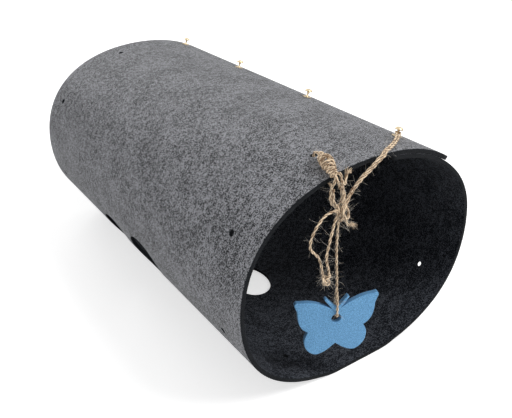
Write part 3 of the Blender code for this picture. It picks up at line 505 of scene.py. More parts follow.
def jute():
    """Twisted jute: bright raised fibres and brown streaks along the plies, with brown painted shade in the grooves
    between them.
    """
    settings = bpy.context.scene.tunnel_twine
    nodes = Material("twisted_jute")
    grain = nodes.attribute("grain")
    fibre = nodes.noise(nodes.stretched(grain, (0.00028, 0.00028, 0.0045)), 1.0, 3.0, 0.6)
    broad = nodes.noise(nodes.stretched(grain, (0.0008, 0.0008, 0.0060)), 1.0, 1.0)
    patch = nodes.noise(nodes.place(), 330.0, 2.0)
    shade = fibre.ramp(0.40, 0.60) * 0.36 + broad.ramp(0.40, 0.60) * 0.40 + patch.ramp(0.40, 0.60) * 0.24
    # Painted shade: the groove mask darkens the colour between the plies, where shade falls.
    fibres_with_groove_shade = (shade * 0.95 + 0.05) * (1.0 - nodes.attribute("groove", "Fac") * 0.78)
    base = nodes.mix(fibres_with_groove_shade.ramp(0.10, 0.70), tuple(settings.dark), tuple(settings.light))
    return nodes.finish(base, 0.85, fibre, bump=0.6, depth=0.0003, sheen=0.25, sheen_roughness=0.35,
                        specular=0.25)


def jute_fuzz():
    """Pale loose fibres of the jute."""
    return fuzz_material("jute_fibres", (0.80, 0.70, 0.56), (0.99, 0.96, 0.90))


def brass_material(settings):
    """Pale polished brass with fine turning marks and a few dull spots."""
    nodes = Material("pale_brass")
    place = nodes.place()
    dull = nodes.noise(place, 650.0, 3.0, 0.6).ramp(0.35, 0.75)
    marks = nodes.noise(nodes.stretched(place, (0.004, 0.004, 0.00012)))
    brass = tuple(settings.brass)
    base = nodes.mix(dull * 0.5, brass, tuple(0.62 * part for part in brass))
    return nodes.finish(base, 0.20 + dull * 0.22 + marks * 0.08, marks, bump=0.12, depth=0.0002, metallic=1.0)


def toy_material(settings):
    """Blue felt, a little darker at its cut edge, which is painted shade."""
    nodes = Material("blue_melange_felt")
    flat = nodes.attribute("flat")
    fine = fibre_lines(nodes, flat, width=0.0018, run=0.0050, half=0.04)
    coarse = nodes.noise(flat, 900.0, 1.0).ramp(0.38, 0.62)
    shade = fine * 0.45 + coarse * 0.55
    dark, light = tuple(settings.dark), tuple(settings.light)
    face = nodes.mix(shade.ramp(0.05, 0.95), tuple(0.80 * d + 0.20 * m for d, m in zip(dark, light)), light)
    # Painted shade: the cut edge is drawn darker, as the thick felt's edge looks in shade.
    edge = nodes.mix(shade, dark, tuple(0.45 * part for part in light))
    base = nodes.mix(nodes.attribute("inside", "Fac") * 0.85, face, edge)
    height = fine * 0.6 + coarse * 0.4
    return nodes.finish(base, 0.95, height, bump=0.4, depth=0.0005, sheen=0.15, specular=0.15)


# Objects

def linked(name, data):
    """A new object in the scene."""
    piece = bpy.data.objects.new(name, data)
    bpy.context.scene.collection.objects.link(piece)
    return piece


def stands_for(piece, body, slot, *nodes):
    """Lets a piece ride on a body and replace its CAD nodes."""
    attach(piece, body)
    if nodes:
        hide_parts(*nodes)
    return piece


def add_attribute(mesh, name, values):
    kind, key = ("FLOAT_VECTOR", "vector") if np.ndim(values) == 2 else ("FLOAT", "value")
    mesh.attributes.new(name, kind, "POINT").data.foreach_set(key, np.ravel(values).astype(np.float32))


def mesh_piece(name, points, cells, material, attributes=None):
    """A piece made of points and faces, with values for each point."""
    mesh = bpy.data.meshes.new(name)
    mesh.from_pydata([tuple(point) for point in points], [], [tuple(int(i) for i in cell) for cell in cells])
    for key, values in (attributes or {}).items():
        add_attribute(mesh, key, values)
    mesh.shade_smooth()
    mesh.materials.append(material)
    mesh.update()
    return linked(name, mesh)


MADE = {}


def once(maker):
    """What a maker gives, made at its first use and shared from then on."""
    if maker not in MADE:
        MADE[maker] = maker()
    return MADE[maker]


# The felt sheet's rolled shape

def smoothstep(share):
    share = np.clip(share, 0.0, 1.0)
    return share * share * (3.0 - 2.0 * share)


class Roll:
    """The outer surface of the tube.  An arc runs from the bottom centre line, positive towards +X."""

    def __init__(self, felt):
        self.felt = felt
        angle = np.linspace(-0.5 * math.pi, 1.5 * math.pi, SECTION_STEPS + 1)
        bulge = 1.0 + felt.shoulder * np.sin(2.0 * angle) ** 2
        x = 0.5 * felt.width * bulge * np.cos(angle)
        z = 0.5 * (felt.height + felt.foot_sink) * (1.0 + bulge * np.sin(angle)) - felt.foot_sink
        low = (np.abs(x) < felt.foot_half + felt.foot_ease) & (z < 0.5 * felt.height)
        flat = np.maximum(z, 0.0) * smoothstep((np.abs(x) - felt.foot_half) / felt.foot_ease)
        self.x, self.z = x, np.where(low, flat, z)
        self.arc = np.concatenate(([0.0], np.cumsum(np.hypot(np.diff(self.x), np.diff(self.z)))))
        self.perimeter = float(self.arc[-1])
        self.stud_arc = 0.5 * self.perimeter - felt.stud_line
        self.flap_end = self.stud_arc - felt.flap_margin
        self.inner_end = self.stud_arc + felt.inner_margin
        self.start = self.flap_end - self.perimeter

    def point(self, arc):
        """X and Z of the outer surface at an arc."""
        along = np.mod(arc, self.perimeter)
        return np.interp(along, self.arc, self.x), np.interp(along, self.arc, self.z)

    def normal(self, arc):
        """X and Z of the way out of the felt at an arc."""
        reach = 2.0 * self.perimeter / SECTION_STEPS
        (x0, z0), (x1, z1) = self.point(arc - reach), self.point(arc + reach)
        size = np.hypot(x1 - x0, z1 - z0)
        return (z1 - z0) / size, -(x1 - x0) / size

    def place(self, arc, y, lift):
        """Points at these arcs, at these heights over the outer surface."""
        x, z = self.point(arc)
        normal_x, normal_z = self.normal(arc)
        return np.stack((x + normal_x * lift, y + 0.0 * x, z + normal_z * lift), axis=-1)

    def lift(self, arc):
        """Height of the sheet's outer face: it dips under the flap, and the flap's end stands off."""
        felt = self.felt
        step = felt.thickness + felt.layer_gap
        tuck = step * smoothstep((arc - (self.flap_end - felt.tuck_run)) / felt.tuck_run)
        rise = felt.flap_rise * np.clip(1.0 - (arc - self.start) / felt.flap_run, 0.0, 1.0) ** 2
        return rise - tuck

    def fullness(self, arc, y):
        """Share of its thickness that the felt has: its nap stands up at the two ends and in the overlap."""
        felt = self.felt
        past_overlap = smoothstep((arc - self.start - self.inner_end + self.flap_end) / NAP_EASE)
        before_tuck = smoothstep((self.flap_end - felt.tuck_run - arc) / NAP_EASE)
        from_ends = smoothstep((0.5 * felt.length - np.abs(y) - NAP_BAND) / NAP_EASE)
        return 1.0 - felt.nap_share * (past_overlap * before_tuck) * from_ends

    def stud_frame(self, y, lift):
        """Placing of a turned piece on the stud line, its own Z out of the felt."""
        arc = np.array([self.stud_arc])
        nx, nz = (float(part[0]) for part in self.normal(arc))
        turn = Matrix(((-nz, 0.0, nx), (0.0, 1.0, 0.0), (nx, 0.0, nz))).to_4x4()
        return Matrix.Translation(Vector(self.place(arc, y, lift)[0])) @ turn


def ring(across, along, radius_x, radius_y, sides):
    """An oval loop of points, and the way into the felt at each."""
    turn = np.linspace(0.0, 2.0 * math.pi, sides, endpoint=False)
    points = np.stack((across + radius_x * np.cos(turn), along + radius_y * np.sin(turn)), axis=1)
    outward = np.stack((np.cos(turn) / radius_x, np.sin(turn) / radius_y), axis=1)
    return points, outward / np.linalg.norm(outward, axis=1)[:, None]


def outline_ring(points):
    """A closed outline, anticlockwise, and the way into the felt at each point."""
    after, before = np.roll(points, -1, axis=0), np.roll(points, 1, axis=0)
    sides = []
    for step in (points - before, after - points):
        step = step / np.linalg.norm(step, axis=1)[:, None]
        sides.append(np.stack((-step[:, 1], step[:, 0]), axis=1))
    inward = sides[0] + sides[1]
    inward = inward / np.linalg.norm(inward, axis=1)[:, None]
    return points, inward / np.clip((inward * sides[0]).sum(axis=1), 0.55, 1.0)[:, None]


def felt_plate(loops, step, thickness, rounding, seed):
    """A flat felt plate with rounded cut edges, as points and faces.

    loops are (points, way into the felt): the first is the outline, and the others are holes.
    Points are (across, along, height), with the outer face at height 0.
    """
    rng = np.random.default_rng(seed)
    rings, edges, total = [], [], 0
    for points, inward in loops:
        rings.append(points + inward * rounding)
        edges += [(total + index, total + (index + 1) % len(points)) for index in range(len(points))]
        total += len(points)
    low, high = loops[0][0].min(axis=0), loops[0][0].max(axis=0)
    counts = np.maximum(2, np.ceil((high - low) / step).astype(int))
    columns, rows = (np.linspace(low[axis], high[axis], counts[axis] + 1)[1:-1] for axis in range(2))
    grid = np.stack(np.meshgrid(columns, rows), axis=-1).reshape(-1, 2)
    grid = grid[within(rings, grid, GRID_MARGIN_SHARE * step)]
    flat = [Vector(point) for point in np.concatenate((*rings, grid))]
    verts, _, faces, _, _, _ = delaunay_2d_cdt(flat, edges, [], 0, 1e-9)
    verts = np.array([tuple(v) for v in verts])
    middles = np.array([verts[list(face)].mean(axis=0) for face in faces])
    faces = [face for face, kept in zip(faces, within(rings, middles)) if kept]
    total = len(verts)
    points = [np.column_stack((verts, np.full(total, height))) for height in (0.0, -thickness)]
    cells = [tuple(face) for face in faces]
    cells += [tuple(index + total for index in reversed(face)) for face in faces]
    bends = [(rounding * (1.0 - math.sin(turn)), rounding * (1.0 - math.cos(turn))) for turn in EDGE_TURNS]
    profile = bends + [(0.0, share * thickness) for share in EDGE_SHARES]
    profile += [(inset, thickness - depth) for inset, depth in reversed(bends)]
    start, first = 2 * total, 0
    for number, (loop, inward) in enumerate(loops):
        size = len(loop)
        stack = [np.arange(first, first + size)]
        for inset, depth in profile:
            ragged = rng.normal(0.0, RAGGED_EDGE, size)
            points.append(np.column_stack((loop + inward * (inset + ragged)[:, None], np.full(size, -depth))))
            stack.append(np.arange(start, start + size))
            start += size
        stack.append(np.arange(total + first, total + first + size))
        for upper, lower in zip(stack[:-1], stack[1:]):
            for index in range(size):
                after = (index + 1) % size
                cell = (upper[index], lower[index], lower[after], upper[after])
                cells.append(cell if number == 0 else cell[::-1])
        first += size
    return np.concatenate(points), cells


def within(rings, points, margin=0.0):
    """Which flat points lie in the felt, and at least a margin from every edge."""
    kept = np.ones(len(points), bool)
    for number, loop in enumerate(rings):
        step = np.roll(loop, -1, axis=0) - loop
        slope = np.where(step[:, 1] == 0.0, 1.0, step[:, 1])
        for start in range(0, len(points), BLOCK):
            block = slice(start, start + BLOCK)
            away = points[block, None] - loop
            spans = (away[..., 1] < 0.0) != (away[..., 1] < step[:, 1])
            crossed = spans & (away[..., 0] < away[..., 1] / slope * step[:, 0])
            kept[block] &= (crossed.sum(axis=1) % 2 == 1) == (number == 0)
            if margin:
                share = np.clip((away * step).sum(axis=2) / (step * step).sum(axis=1), 0.0, 1.0)
                kept[block] &= np.linalg.norm(away - share[..., None] * step, axis=2).min(axis=1) > margin
    return kept


def rim_share(depth, ease):
    """1 on a cut edge and 0 on both faces, for a depth in shares of the thickness."""
    return smoothstep(depth / ease) * smoothstep((1.0 - depth) / ease)


def densify(points, step):
    """Points about a step apart along a closed outline."""
    dense = []
    for start, end in zip(points, np.roll(points, -1, axis=0)):
        count = max(1, round(float(np.linalg.norm(end - start)) / step))
        dense += [start + (end - start) * share for share in np.linspace(0.0, 1.0, count, endpoint=False)]
    return np.array(dense)


# Geometry node trees

class Tree(Nodes):
    """A geometry node tree with named inputs."""

    def __init__(self, name, inputs):
        super().__init__(bpy.data.node_groups.new(name, "GeometryNodeTree"))
        self.ids = {}
        face = self.tree.interface
        face.new_socket("Geometry", in_out="INPUT", socket_type="NodeSocketGeometry")
        for key, kind in inputs.items():
            self.ids[key] = face.new_socket(key, in_out="INPUT", socket_type=f"NodeSocket{kind}").identifier
        face.new_socket("Geometry", in_out="OUTPUT", socket_type="NodeSocketGeometry")
        self.inputs = self.add("NodeGroupInput")

    def given(self, key):
        """The value of a named input."""
        return self.inputs.of(key)

    def end(self, geometry):
        """Makes the result plain geometry with the given material."""
        whole, paint = self.add("GeometryNodeRealizeInstances", {}, {0: geometry}), self.given("Material")
        painted = self.add("GeometryNodeSetMaterial", {}, {"Geometry": whole, "Material": paint})
        self.add("NodeGroupOutput", {}, {0: painted})

    def store(self, geometry, name, value, kind="FLOAT"):
        return self.add("GeometryNodeStoreNamedAttribute", {"data_type": kind, "domain": "POINT"},
                        {"Geometry": geometry, "Name": name, "Value": value})

    def named(self, name, kind="FLOAT"):
        return self.add("GeometryNodeInputNamedAttribute", {"data_type": kind}, {"Name": name})

    def circle(self, sides, radius):
        return self.add("GeometryNodeCurvePrimitiveCircle", {}, {"Resolution": sides, "Radius": radius})

    def combine(self, **parts):
        return self.add("ShaderNodeCombineXYZ", {}, {key.upper(): value for key, value in parts.items()})

    def random(self, low, high, seed, kind="FLOAT"):
        keys = {"FLOAT": (2, 3, 1), "FLOAT_VECTOR": (0, 1, 0)}[kind]
        return self.add("FunctionNodeRandomValue", {"data_type": kind},
                        {keys[0]: low, keys[1]: high, "Seed": seed}, keys[2])

    def apply(self, host, **values):
        """Runs the tree on an object, which it removes, and gives the resulting mesh."""
        modifier = host.modifiers.new(self.tree.name, "NODES")
        modifier.node_group = self.tree
        for key, value in values.items():
            modifier[self.ids[key.capitalize()]] = value
        graph = bpy.context.evaluated_depsgraph_get()
        mesh = bpy.data.meshes.new_from_object(host.evaluated_get(graph), preserve_all_data_layers=True,
                                               depsgraph=graph)
        bpy.data.objects.remove(host)
        return mesh


def twine_tree():
    """Plies of yarn laid round a curve, with uneven thickness and raised fibres."""
    number = bpy.context.scene.tunnel_twine.plies
    tree = Tree("Twisted twine", {"Thickness": "Float", "Lay": "Float", "Seed": "Float",
                                  "Material": "Material"})
    thick, seed = tree.given("Thickness"), tree.given("Seed")
    line = tree.add("GeometryNodeResampleCurve", {"mode": "LENGTH"},
                    {"Curve": tree.inputs, "Length": thick * PLY_STEP_SHARE})
    line = tree.store(line, "along", tree.add("GeometryNodeSplineParameter", out="Length"))
    along = tree.named("along")
    normal, tangent = tree.add("GeometryNodeInputNormal"), tree.add("GeometryNodeInputTangent")
    side = tree.vector("CROSS_PRODUCT", tangent, normal)
    spot = tree.combine(x=along * UNEVEN_RATE, y=seed)
    plies = []
    for ply in range(number):
        turn = along / tree.given("Lay") * (2.0 * math.pi)
        turn = turn + (2.0 * math.pi / number * ply + tree.noise(spot, detail=1.0) * UNEVEN_TWIST)
        reach = thick * PLY_REACH_SHARE
        offset = tree.vector("ADD", tree.vector("SCALE", normal, scale=turn.math("COSINE") * reach),
                             tree.vector("SCALE", side, scale=turn.math("SINE") * reach))
        moved = tree.add("GeometryNodeSetPosition", {}, {"Geometry": line, "Offset": offset})
        apart = tree.vector("ADD", spot, (0.0, 7.0 * ply + 3.0, 0.0))
        uneven = tree.noise(apart, 1.3, 2.0) * THICKER_SHARE + THIN_SHARE
        moved = tree.add("GeometryNodeSetCurveRadius", {}, {"Curve": moved, "Radius": uneven})
        circle = tree.circle(16, thick * PLY_RADIUS_SHARE)
        outward = tree.vector("NORMALIZE", tree.add("GeometryNodeInputPosition"))
        circle = tree.store(tree.store(circle, "ring", outward, "FLOAT_VECTOR"), "ply", float(ply))
        plies.append(tree.add("GeometryNodeCurveToMesh", {}, {"Curve": moved, "Profile Curve": circle,
                                                              "Fill Caps": True}))
    join = tree.tree.nodes.new("GeometryNodeJoinGeometry")
    for ply in plies:
        tree.tree.links.new(ply.socket, join.inputs[0])
    body = Value(tree, join.outputs[0])
    spin = tree.add("ShaderNodeVectorRotate", {"rotation_type": "Z_AXIS"}, {
        "Vector": tree.named("ring", "FLOAT_VECTOR"), "Angle": tree.named("along") * YARN_TWIST})
    grain = tree.vector("ADD", tree.vector("SCALE", spin, scale=thick * PLY_RADIUS_SHARE),
                        tree.combine(x=tree.named("ply") * 0.05 + seed * 0.1, z=tree.named("along")))
    body = tree.store(body, "grain", grain, "FLOAT_VECTOR")
    dense = tree.vector("MULTIPLY", tree.named("grain", "FLOAT_VECTOR"), RIDGE_RATES)
    height = (tree.noise(dense, 1.0, 2.0, 0.6) - 0.5) * (thick * RIDGE_SHARE)
    lift = tree.vector("SCALE", tree.add("GeometryNodeInputNormal"), scale=height)
    body = tree.add("GeometryNodeSetPosition", {}, {"Geometry": body, "Offset": lift})
    tree.end(tree.add("GeometryNodeSetShadeSmooth", {}, {"Geometry": body, "Shade Smooth": True}))
    return tree


def fibre_tree():
    """Loose fibres that stand off a surface, thin and bent."""
    tree = Tree("Loose fibres", {"Density": "Float", "Length": "Float", "Thickness": "Float", "Lean": "Float",
                                 "Curl": "Float", "Seed": "Int", "Material": "Material"})
    seed, long, density = tree.given("Seed"), tree.given("Length"), tree.given("Density")
    roots = tree.add("GeometryNodeDistributePointsOnFaces", {"distribute_method": "RANDOM"}, {
        "Mesh": tree.inputs, "Density": density * tree.named("fuzzy"), "Seed": seed})
    hair = tree.add("GeometryNodeCurveQuadraticBezier", {}, {"Resolution": 5, **HAIR_BEND})
    reach = tree.add("GeometryNodeSplineParameter", out="Factor")
    hair = tree.store(hair, "reach", reach)
    hair = tree.add("GeometryNodeSetCurveRadius", {}, {"Curve": hair, "Radius": 1.0 - reach * 0.75})
    hoop = tree.circle(3, tree.given("Thickness") / long)
    hair = tree.add("GeometryNodeCurveToMesh", {}, {"Curve": hair, "Profile Curve": hoop})
    scatter = tree.random((-1.0, -1.0, -1.0), (1.0, 1.0, 1.0), seed, "FLOAT_VECTOR")
    aim = tree.vector("ADD", roots.of("Normal"), tree.vector("SCALE", scatter, scale=tree.given("Lean")))
    turn = tree.add("FunctionNodeAlignRotationToVector", {"axis": "Z"}, {"Vector": aim})
    spin = tree.add("FunctionNodeAxisAngleToRotation", {}, {"Angle": tree.random(0.0, 2.0 * math.pi, seed)})
    turn = tree.add("FunctionNodeRotateRotation", {"rotation_space": "LOCAL"},
                    {"Rotation": turn, "Rotate By": spin})
    size = (tree.random(0.15, 1.0, seed) ** 1.6 + 0.12) * long
    hairs = tree.add("GeometryNodeInstanceOnPoints", {}, {"Points": roots, "Instance": hair, "Rotation": turn,
                                                          "Scale": size})
    whole = tree.add("GeometryNodeRealizeInstances", {}, {0: hairs})
    drift = tree.drift(tree.add("GeometryNodeInputPosition"), 200.0, 1.0)
    bend = tree.vector("SCALE", drift, scale=tree.named("reach") ** 1.5 * tree.given("Curl") * long)
    tree.end(tree.add("GeometryNodeSetPosition", {}, {"Geometry": whole, "Offset": bend}))
    return tree


def grow_fibres(name, ground, hair, material, body, seed):
    """A piece of loose fibres that stand on a mesh, riding on a body."""
    host = linked("fibre_host", ground.copy())
    if "fuzzy" not in host.data.attributes:
        add_attribute(host.data, "fuzzy", np.ones(len(host.data.vertices)))
    mesh = once(fibre_tree).apply(host, seed=seed, material=material, **hair)
    for layer in [item.name for item in mesh.attributes if item.name in ("reach", "fuzzy")]:
        mesh.attributes.remove(mesh.attributes[layer])
    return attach(linked(name, mesh), body)


# Twine

def smooth_route(points, spacing=TWINE_STEP):
    """A Catmull-Rom curve through a route's points, read off at an even spacing."""
    route = np.array(points, float)
    padded = np.vstack((2 * route[0] - route[1], route, 2 * route[-1] - route[-2]))
    share = np.linspace(0.0, 1.0, 24, endpoint=False)[:, None]
    fine = [0.5 * (2 * b + (c - a) * share + (2 * a - 5 * b + 4 * c - d) * share ** 2
                   + (3 * b - a - 3 * c + d) * share ** 3)
            for a, b, c, d in zip(padded, padded[1:], padded[2:], padded[3:])]
    return evenly(np.vstack((*fine, route[-1])), spacing)


def evenly(line, spacing):
    """Points at an even spacing along a line."""
    lengths = np.concatenate(([0.0], np.cumsum(np.linalg.norm(np.diff(line, axis=0), axis=1))))
    wanted = np.linspace(0.0, lengths[-1], max(3, round(lengths[-1] / spacing)) + 1)
    return np.stack([np.interp(wanted, lengths, line[:, axis]) for axis in range(3)], axis=1)


def stretch_ends(points, at_start=0.0, at_end=0.0):
    """Lets a route run on straight past its ends."""
    points = np.array(points, float)
    first, last = points[0] - points[1], points[-1] - points[-2]
    grown = [points]
    if at_start:
        grown.insert(0, [points[0] + first / np.linalg.norm(first) * at_start])
    if at_end:
        grown.append([points[-1] + last / np.linalg.norm(last) * at_end])
    return np.vstack(grown)


def twine_piece(strand, line, body, seed, thickness=None, closed=False, extra=False):
    """Twisted twine along a line of points.  It stands for the CAD node of its name, unless it is extra."""
    settings = bpy.context.scene.tunnel_twine
    thickness = thickness or settings.thickness
    name = strand.replace("strand_", "") + "_twine"
    curve = bpy.data.curves.new(name, "CURVE")
    curve.dimensions = "3D"
    spline = curve.splines.new("POLY")
    spline.points.add(len(line) - 1)
    spline.points.foreach_set("co", np.column_stack((line, np.ones(len(line)))).ravel())
    spline.use_cyclic_u = closed
    mesh = once(twine_tree).apply(linked(name + "_line", curve), thickness=thickness, lay=settings.lay,
                                  seed=float(seed), material=once(jute))
    # The groove depth is stored as the mask of the painted shade between the plies.
    add_attribute(mesh, "groove", groove(mesh, line, thickness))
    return stands_for(linked(name, mesh), body, "jute_twine", *(() if extra else (strand,)))


def groove(mesh, line, thickness):
    """How deep each point lies in the groove between the plies, from 0 to 1; the jute's painted shade follows it.
    """
    points = np.zeros(len(mesh.vertices) * 3, np.float32)
    mesh.vertices.foreach_get("co", points)
    points = points.reshape(-1, 3)
    nearest = np.full(len(points), 1.0)
    for start in range(0, len(points), BLOCK):
        block = slice(start, start + BLOCK)
        nearest[block] = np.sqrt(((points[block, None] - line[None]) ** 2).sum(axis=2).min(axis=1))
    return 1.0 - np.clip((nearest / thickness - GROOVE_FLOOR_SHARE) / GROOVE_RISE_SHARE, 0.0, 1.0)


def lay_twine(strand, route, body, seed, runs=(0.0, 0.0), cord=None, **how):
    """A strand along a route that runs on past its ends; cord is not used."""
    line = smooth_route(stretch_ends(route, *runs))
    piece = twine_piece(strand, line, body, seed, **how)
    return piece


def knot_line(centre, unit):
    """An overhand knot closed on itself, seen from the front, one lobe down."""
    turn = np.linspace(0.0, 2.0 * math.pi, 240, endpoint=False)
    shape = np.stack((np.sin(turn) + 2.0 * np.sin(2.0 * turn), np.sin(3.0 * turn),
                      np.cos(turn) - 2.0 * np.cos(2.0 * turn)), axis=1)
    return np.array(centre) + shape * np.array(unit)


def waves(share, table):
    """The sum of some waves along a winding."""
    return sum(size * np.sin(rate * share + phase) for size, rate, phase in table)[:, None]


def wrap_line(turns):
    """A winding round the line from WRAP_REAR to WRAP_FRONT that swells and tapers."""
    rear, front = np.array(WRAP_REAR), np.array(WRAP_FRONT)
    axis = (front - rear) / np.linalg.norm(front - rear)
    side = np.cross((0.0, 0.0, 1.0), axis)
    side /= np.linalg.norm(side)
    up = np.cross(axis, side)
    share = np.linspace(0.0, 1.0, round(turns * 60) + 1)
    start, belly, end = WRAP_RADII
    swell = smoothstep(share / WRAP_BELLY_SHARE)
    taper = smoothstep((share - WRAP_BELLY_SHARE) / (1.0 - WRAP_BELLY_SHARE))
    radius = (start + (belly - start) * swell + (end - belly) * taper)[:, None]
    turn = (2.0 * math.pi * turns * share)[:, None]
    line = rear + (front - rear) * share[:, None] + up * (radius - WRAP_CORE_DROP)
    line = line + (up * np.cos(turn) + side * np.sin(turn)) * radius
    line = line + axis * radius * waves(share, WRAP_TILT_WAVES) * np.cos(turn + 0.8)
    line = line + up * waves(share, WRAP_LIFT_WAVES)
    return evenly(stretch_ends(line, WRAP_RUN, WRAP_RUN), TWINE_STEP)


def mesh_from(name, bm):
    """A mesh with what a bmesh holds, which is freed."""
    mesh = bpy.data.meshes.new(name)
    bm.to_mesh(mesh)
    bm.free()
    return mesh


def grow_twine_fibres(body, laid, seed):
    """Loose fibres for all the twine of one body, as one piece."""
    bm, fuzzy = bmesh.new(), []
    for piece in laid:
        bm.from_mesh(piece.data)
        share = next((share for word, share in FUZZ_SHARES.items() if word in piece.name), PLAIN_FUZZ_SHARE)
        fuzzy += [share] * len(piece.data.vertices)
    ground = mesh_from("twine_of_" + body, bm)
    add_attribute(ground, "fuzzy", fuzzy)
    hair = {"density": bpy.context.scene.tunnel_twine.fibres * 10000.0, **TWINE_HAIR}
    grow_fibres(f"{body}_twine_fibres", ground, hair, once(jute_fuzz), body, seed)


def fray(name, route, body, seed):
    """The brush of fibres near a cut end of the twine, from the last point of the route on."""
    end, before = Vector(route[-1]), Vector(route[-2])
    turn = (end - before).to_track_quat("Z", "Y").to_matrix().to_4x4()
    root = Matrix.Translation(end - (end - before).normalized() * FRAY_SETBACK)
    bm = bmesh.new()
    bmesh.ops.create_circle(bm, cap_ends=True, segments=12, radius=FRAY_RADIUS, matrix=root @ turn)
    grow_fibres(name, mesh_from(name + "_root", bm), FRAY_HAIR, once(jute), body, seed)


class TUNNEL_OT_ties(bpy.types.Operator):
    """Lay the twine that is tied to the tunnel: the tie, its winding, its tail and the stud's sling"""

    bl_idname = "tunnel.ties"
    bl_label = "Twine on the tunnel"

    def execute(self, context):
        twine, runs, cord = context.scene.tunnel_twine, (EDGE_RUN, EDGE_RUN), ("object", "taut")
        laid = [lay_twine("tie_loop", TIE_LOOP, "tunnel", 1, runs, cord),
                lay_twine("tie_tail", TIE_TAIL, "tunnel", 2, (TAIL_RUN, 0.0)),
                lay_twine("stud_sling", STUD_SLING, "tunnel", 3, runs, cord, thickness=twine.sling_thickness),
                lay_twine("edge_strand", EDGE_STRAND, "tunnel", 66, extra=True)]
        line = wrap_line(twine.wrap_turns)
        laid.append(twine_piece("tie_wrap", line, "tunnel", 9))
        grow_twine_fibres("tunnel", laid, 21)
        fray("tie_tail_fray", TIE_TAIL[:-2], "tunnel", 51)
        return {"FINISHED"}


class TUNNEL_OT_bridle(bpy.types.Operator):
    """Lay the twine that hangs from the tunnel's edge, with its knots and loose loop"""

    bl_idname = "tunnel.bridle"
    bl_label = "Hanging twine"

    def execute(self, context):
        twine = context.scene.tunnel_twine
        laid = []
        for seed, (strand, route, run) in enumerate((
                ("bridle_strand_left", BRIDLE_LEFT, KNOT_RUN),
                ("bridle_strand_right", BRIDLE_RIGHT, KNOT_RUN),
                ("sling_strand_upper", SLING_UPPER, KNOT_RUN),
                ("sling_strand_lower", SLING_LOWER, KNOT_RUN),
                ("loop_down", LOOP_DOWN, LOOP_RUN),
                ("loop_up", LOOP_UP, LOOP_RUN))):
            cord = None if strand.startswith("bridle") else ("object", "hanging")
            thickness = twine.sling_thickness if strand.startswith("sling") else None
            laid.append(lay_twine(strand, route, "bridle", seed + 11, (run, run), cord, thickness=thickness))
        laid.append(lay_twine("knot_tail", KNOT_TAIL, "bridle", 17, (LOOP_RUN, 0.0)))
        for seed, (knot, centre, unit) in enumerate((("main_knot", MAIN_KNOT, MAIN_KNOT_UNIT),
                                                     ("loop_knot", LOOP_KNOT, LOOP_KNOT_UNIT))):
            laid.append(twine_piece(knot, knot_line(centre, unit), "bridle", seed + 31,
                                    thickness=twine.knot_thickness, closed=True))
        for seed, (strand, route) in enumerate((("second_left", SECOND_LEFT), ("second_right", SECOND_RIGHT),
                                                ("front_loop", FRONT_LOOP))):
            laid.append(lay_twine(strand, route, "bridle", seed + 61, extra=True))
        grow_twine_fibres("bridle", laid, 22)
        fray("knot_tail_fray", KNOT_TAIL[:-1], "bridle", 52)
        return {"FINISHED"}


class TUNNEL_OT_string(bpy.types.Operator):
    """Lay the toy's string and the eye that passes through the toy"""

    bl_idname = "tunnel.string"
    bl_label = "Toy string and eye"

    def execute(self, context):
        cord = ("object", "hanging")
        string = lay_twine("toy_string", TOY_STRING, "string", 41, (STRING_RUN, 0.0), cord)
        grow_twine_fibres("string", [string], 23)
        loop = moved(smooth_route([(0.0, out, up) for out, up in TOY_EYE], EYE_STEP), toy_frame())
        eye = twine_piece("toy_eye", evenly(loop, TWINE_STEP), "eye", 42)
        grow_twine_fibres("eye", [eye], 24)
        return {"FINISHED"}


# Felt sheet, studs and toy

class TUNNEL_OT_felt(bpy.types.Operator):
    """Build the rolled felt sheet with its windows and holes"""

    bl_idname = "tunnel.felt"
    bl_label = "Felt sheet"

    def execute(self, context):
        felt = context.scene.tunnel_felt
        roll = Roll(felt)
        half = 0.5 * felt.length
        corners = ((roll.start, -half), (roll.inner_end, -half), (roll.inner_end, half), (roll.start, half))
        loops = [outline_ring(densify(np.array(corners), felt.mesh_step))]
        for y in (felt.front_margin - half, half - felt.rear_margin):
            loops += [ring(roll.stud_arc - roll.perimeter * step / (TIE_HOLES + 1), y, TIE_HOLE_RADIUS,
                           TIE_HOLE_RADIUS, 28) for step in range(1, TIE_HOLES + 1)]
        for y in stud_rows():
            loops += [ring(arc, y, STUD_HOLE_RADIUS, STUD_HOLE_RADIUS, 24)
                      for arc in (roll.stud_arc, roll.stud_arc - roll.perimeter)]
        loops += [ring(arc, along - half, *WINDOW_RADII, 72) for arc, along in WINDOWS]
        points, cells = felt_plate(loops, felt.mesh_step, felt.thickness, felt.edge_round, 5)
        arcs, heights = points[:, 0], points[:, 2]
        solid = roll.place(arcs, points[:, 1], roll.lift(arcs) + heights * roll.fullness(arcs, points[:, 1]))
        depth = -heights / felt.thickness
        inside = smoothstep((depth - FACE_END_SHARE) / FACE_EASE_SHARE)
        rim = rim_share(depth, RIM_EASE_SHARE)
        fuzzy = (FACE_FUZZ + RIM_FUZZ * rim) * (solid[:, 2] > FLOOR_RUB)
        sheet = mesh_piece("felt", solid, cells, outer_felt(felt),
                           {"flat": points, "inside": inside, "rim": rim, "fuzzy": fuzzy})
        sheet.data.materials.append(inner_felt(felt))
        slots = [int(inside[list(cell)].mean() > INNER_SHARE) for cell in cells]
        sheet.data.polygons.foreach_set("material_index", slots)
        stands_for(sheet, "tunnel", "grey_felt", "felt_sheet")
        hair = fuzz_material("grey_fibres", (0.05, 0.05, 0.055), (0.34, 0.34, 0.35))
        grow_fibres("felt_fibres", sheet.data, FELT_HAIR, hair, "tunnel", 3)
        return {"FINISHED"}


def stud_rows():
    """The Y of each stud."""
    felt, stud = bpy.context.scene.tunnel_felt, bpy.context.scene.tunnel_studs
    pitch = (felt.length - felt.front_margin - stud.last_margin) / (stud.count - 1)
    return [felt.front_margin - 0.5 * felt.length + pitch * index for index in range(stud.count)]


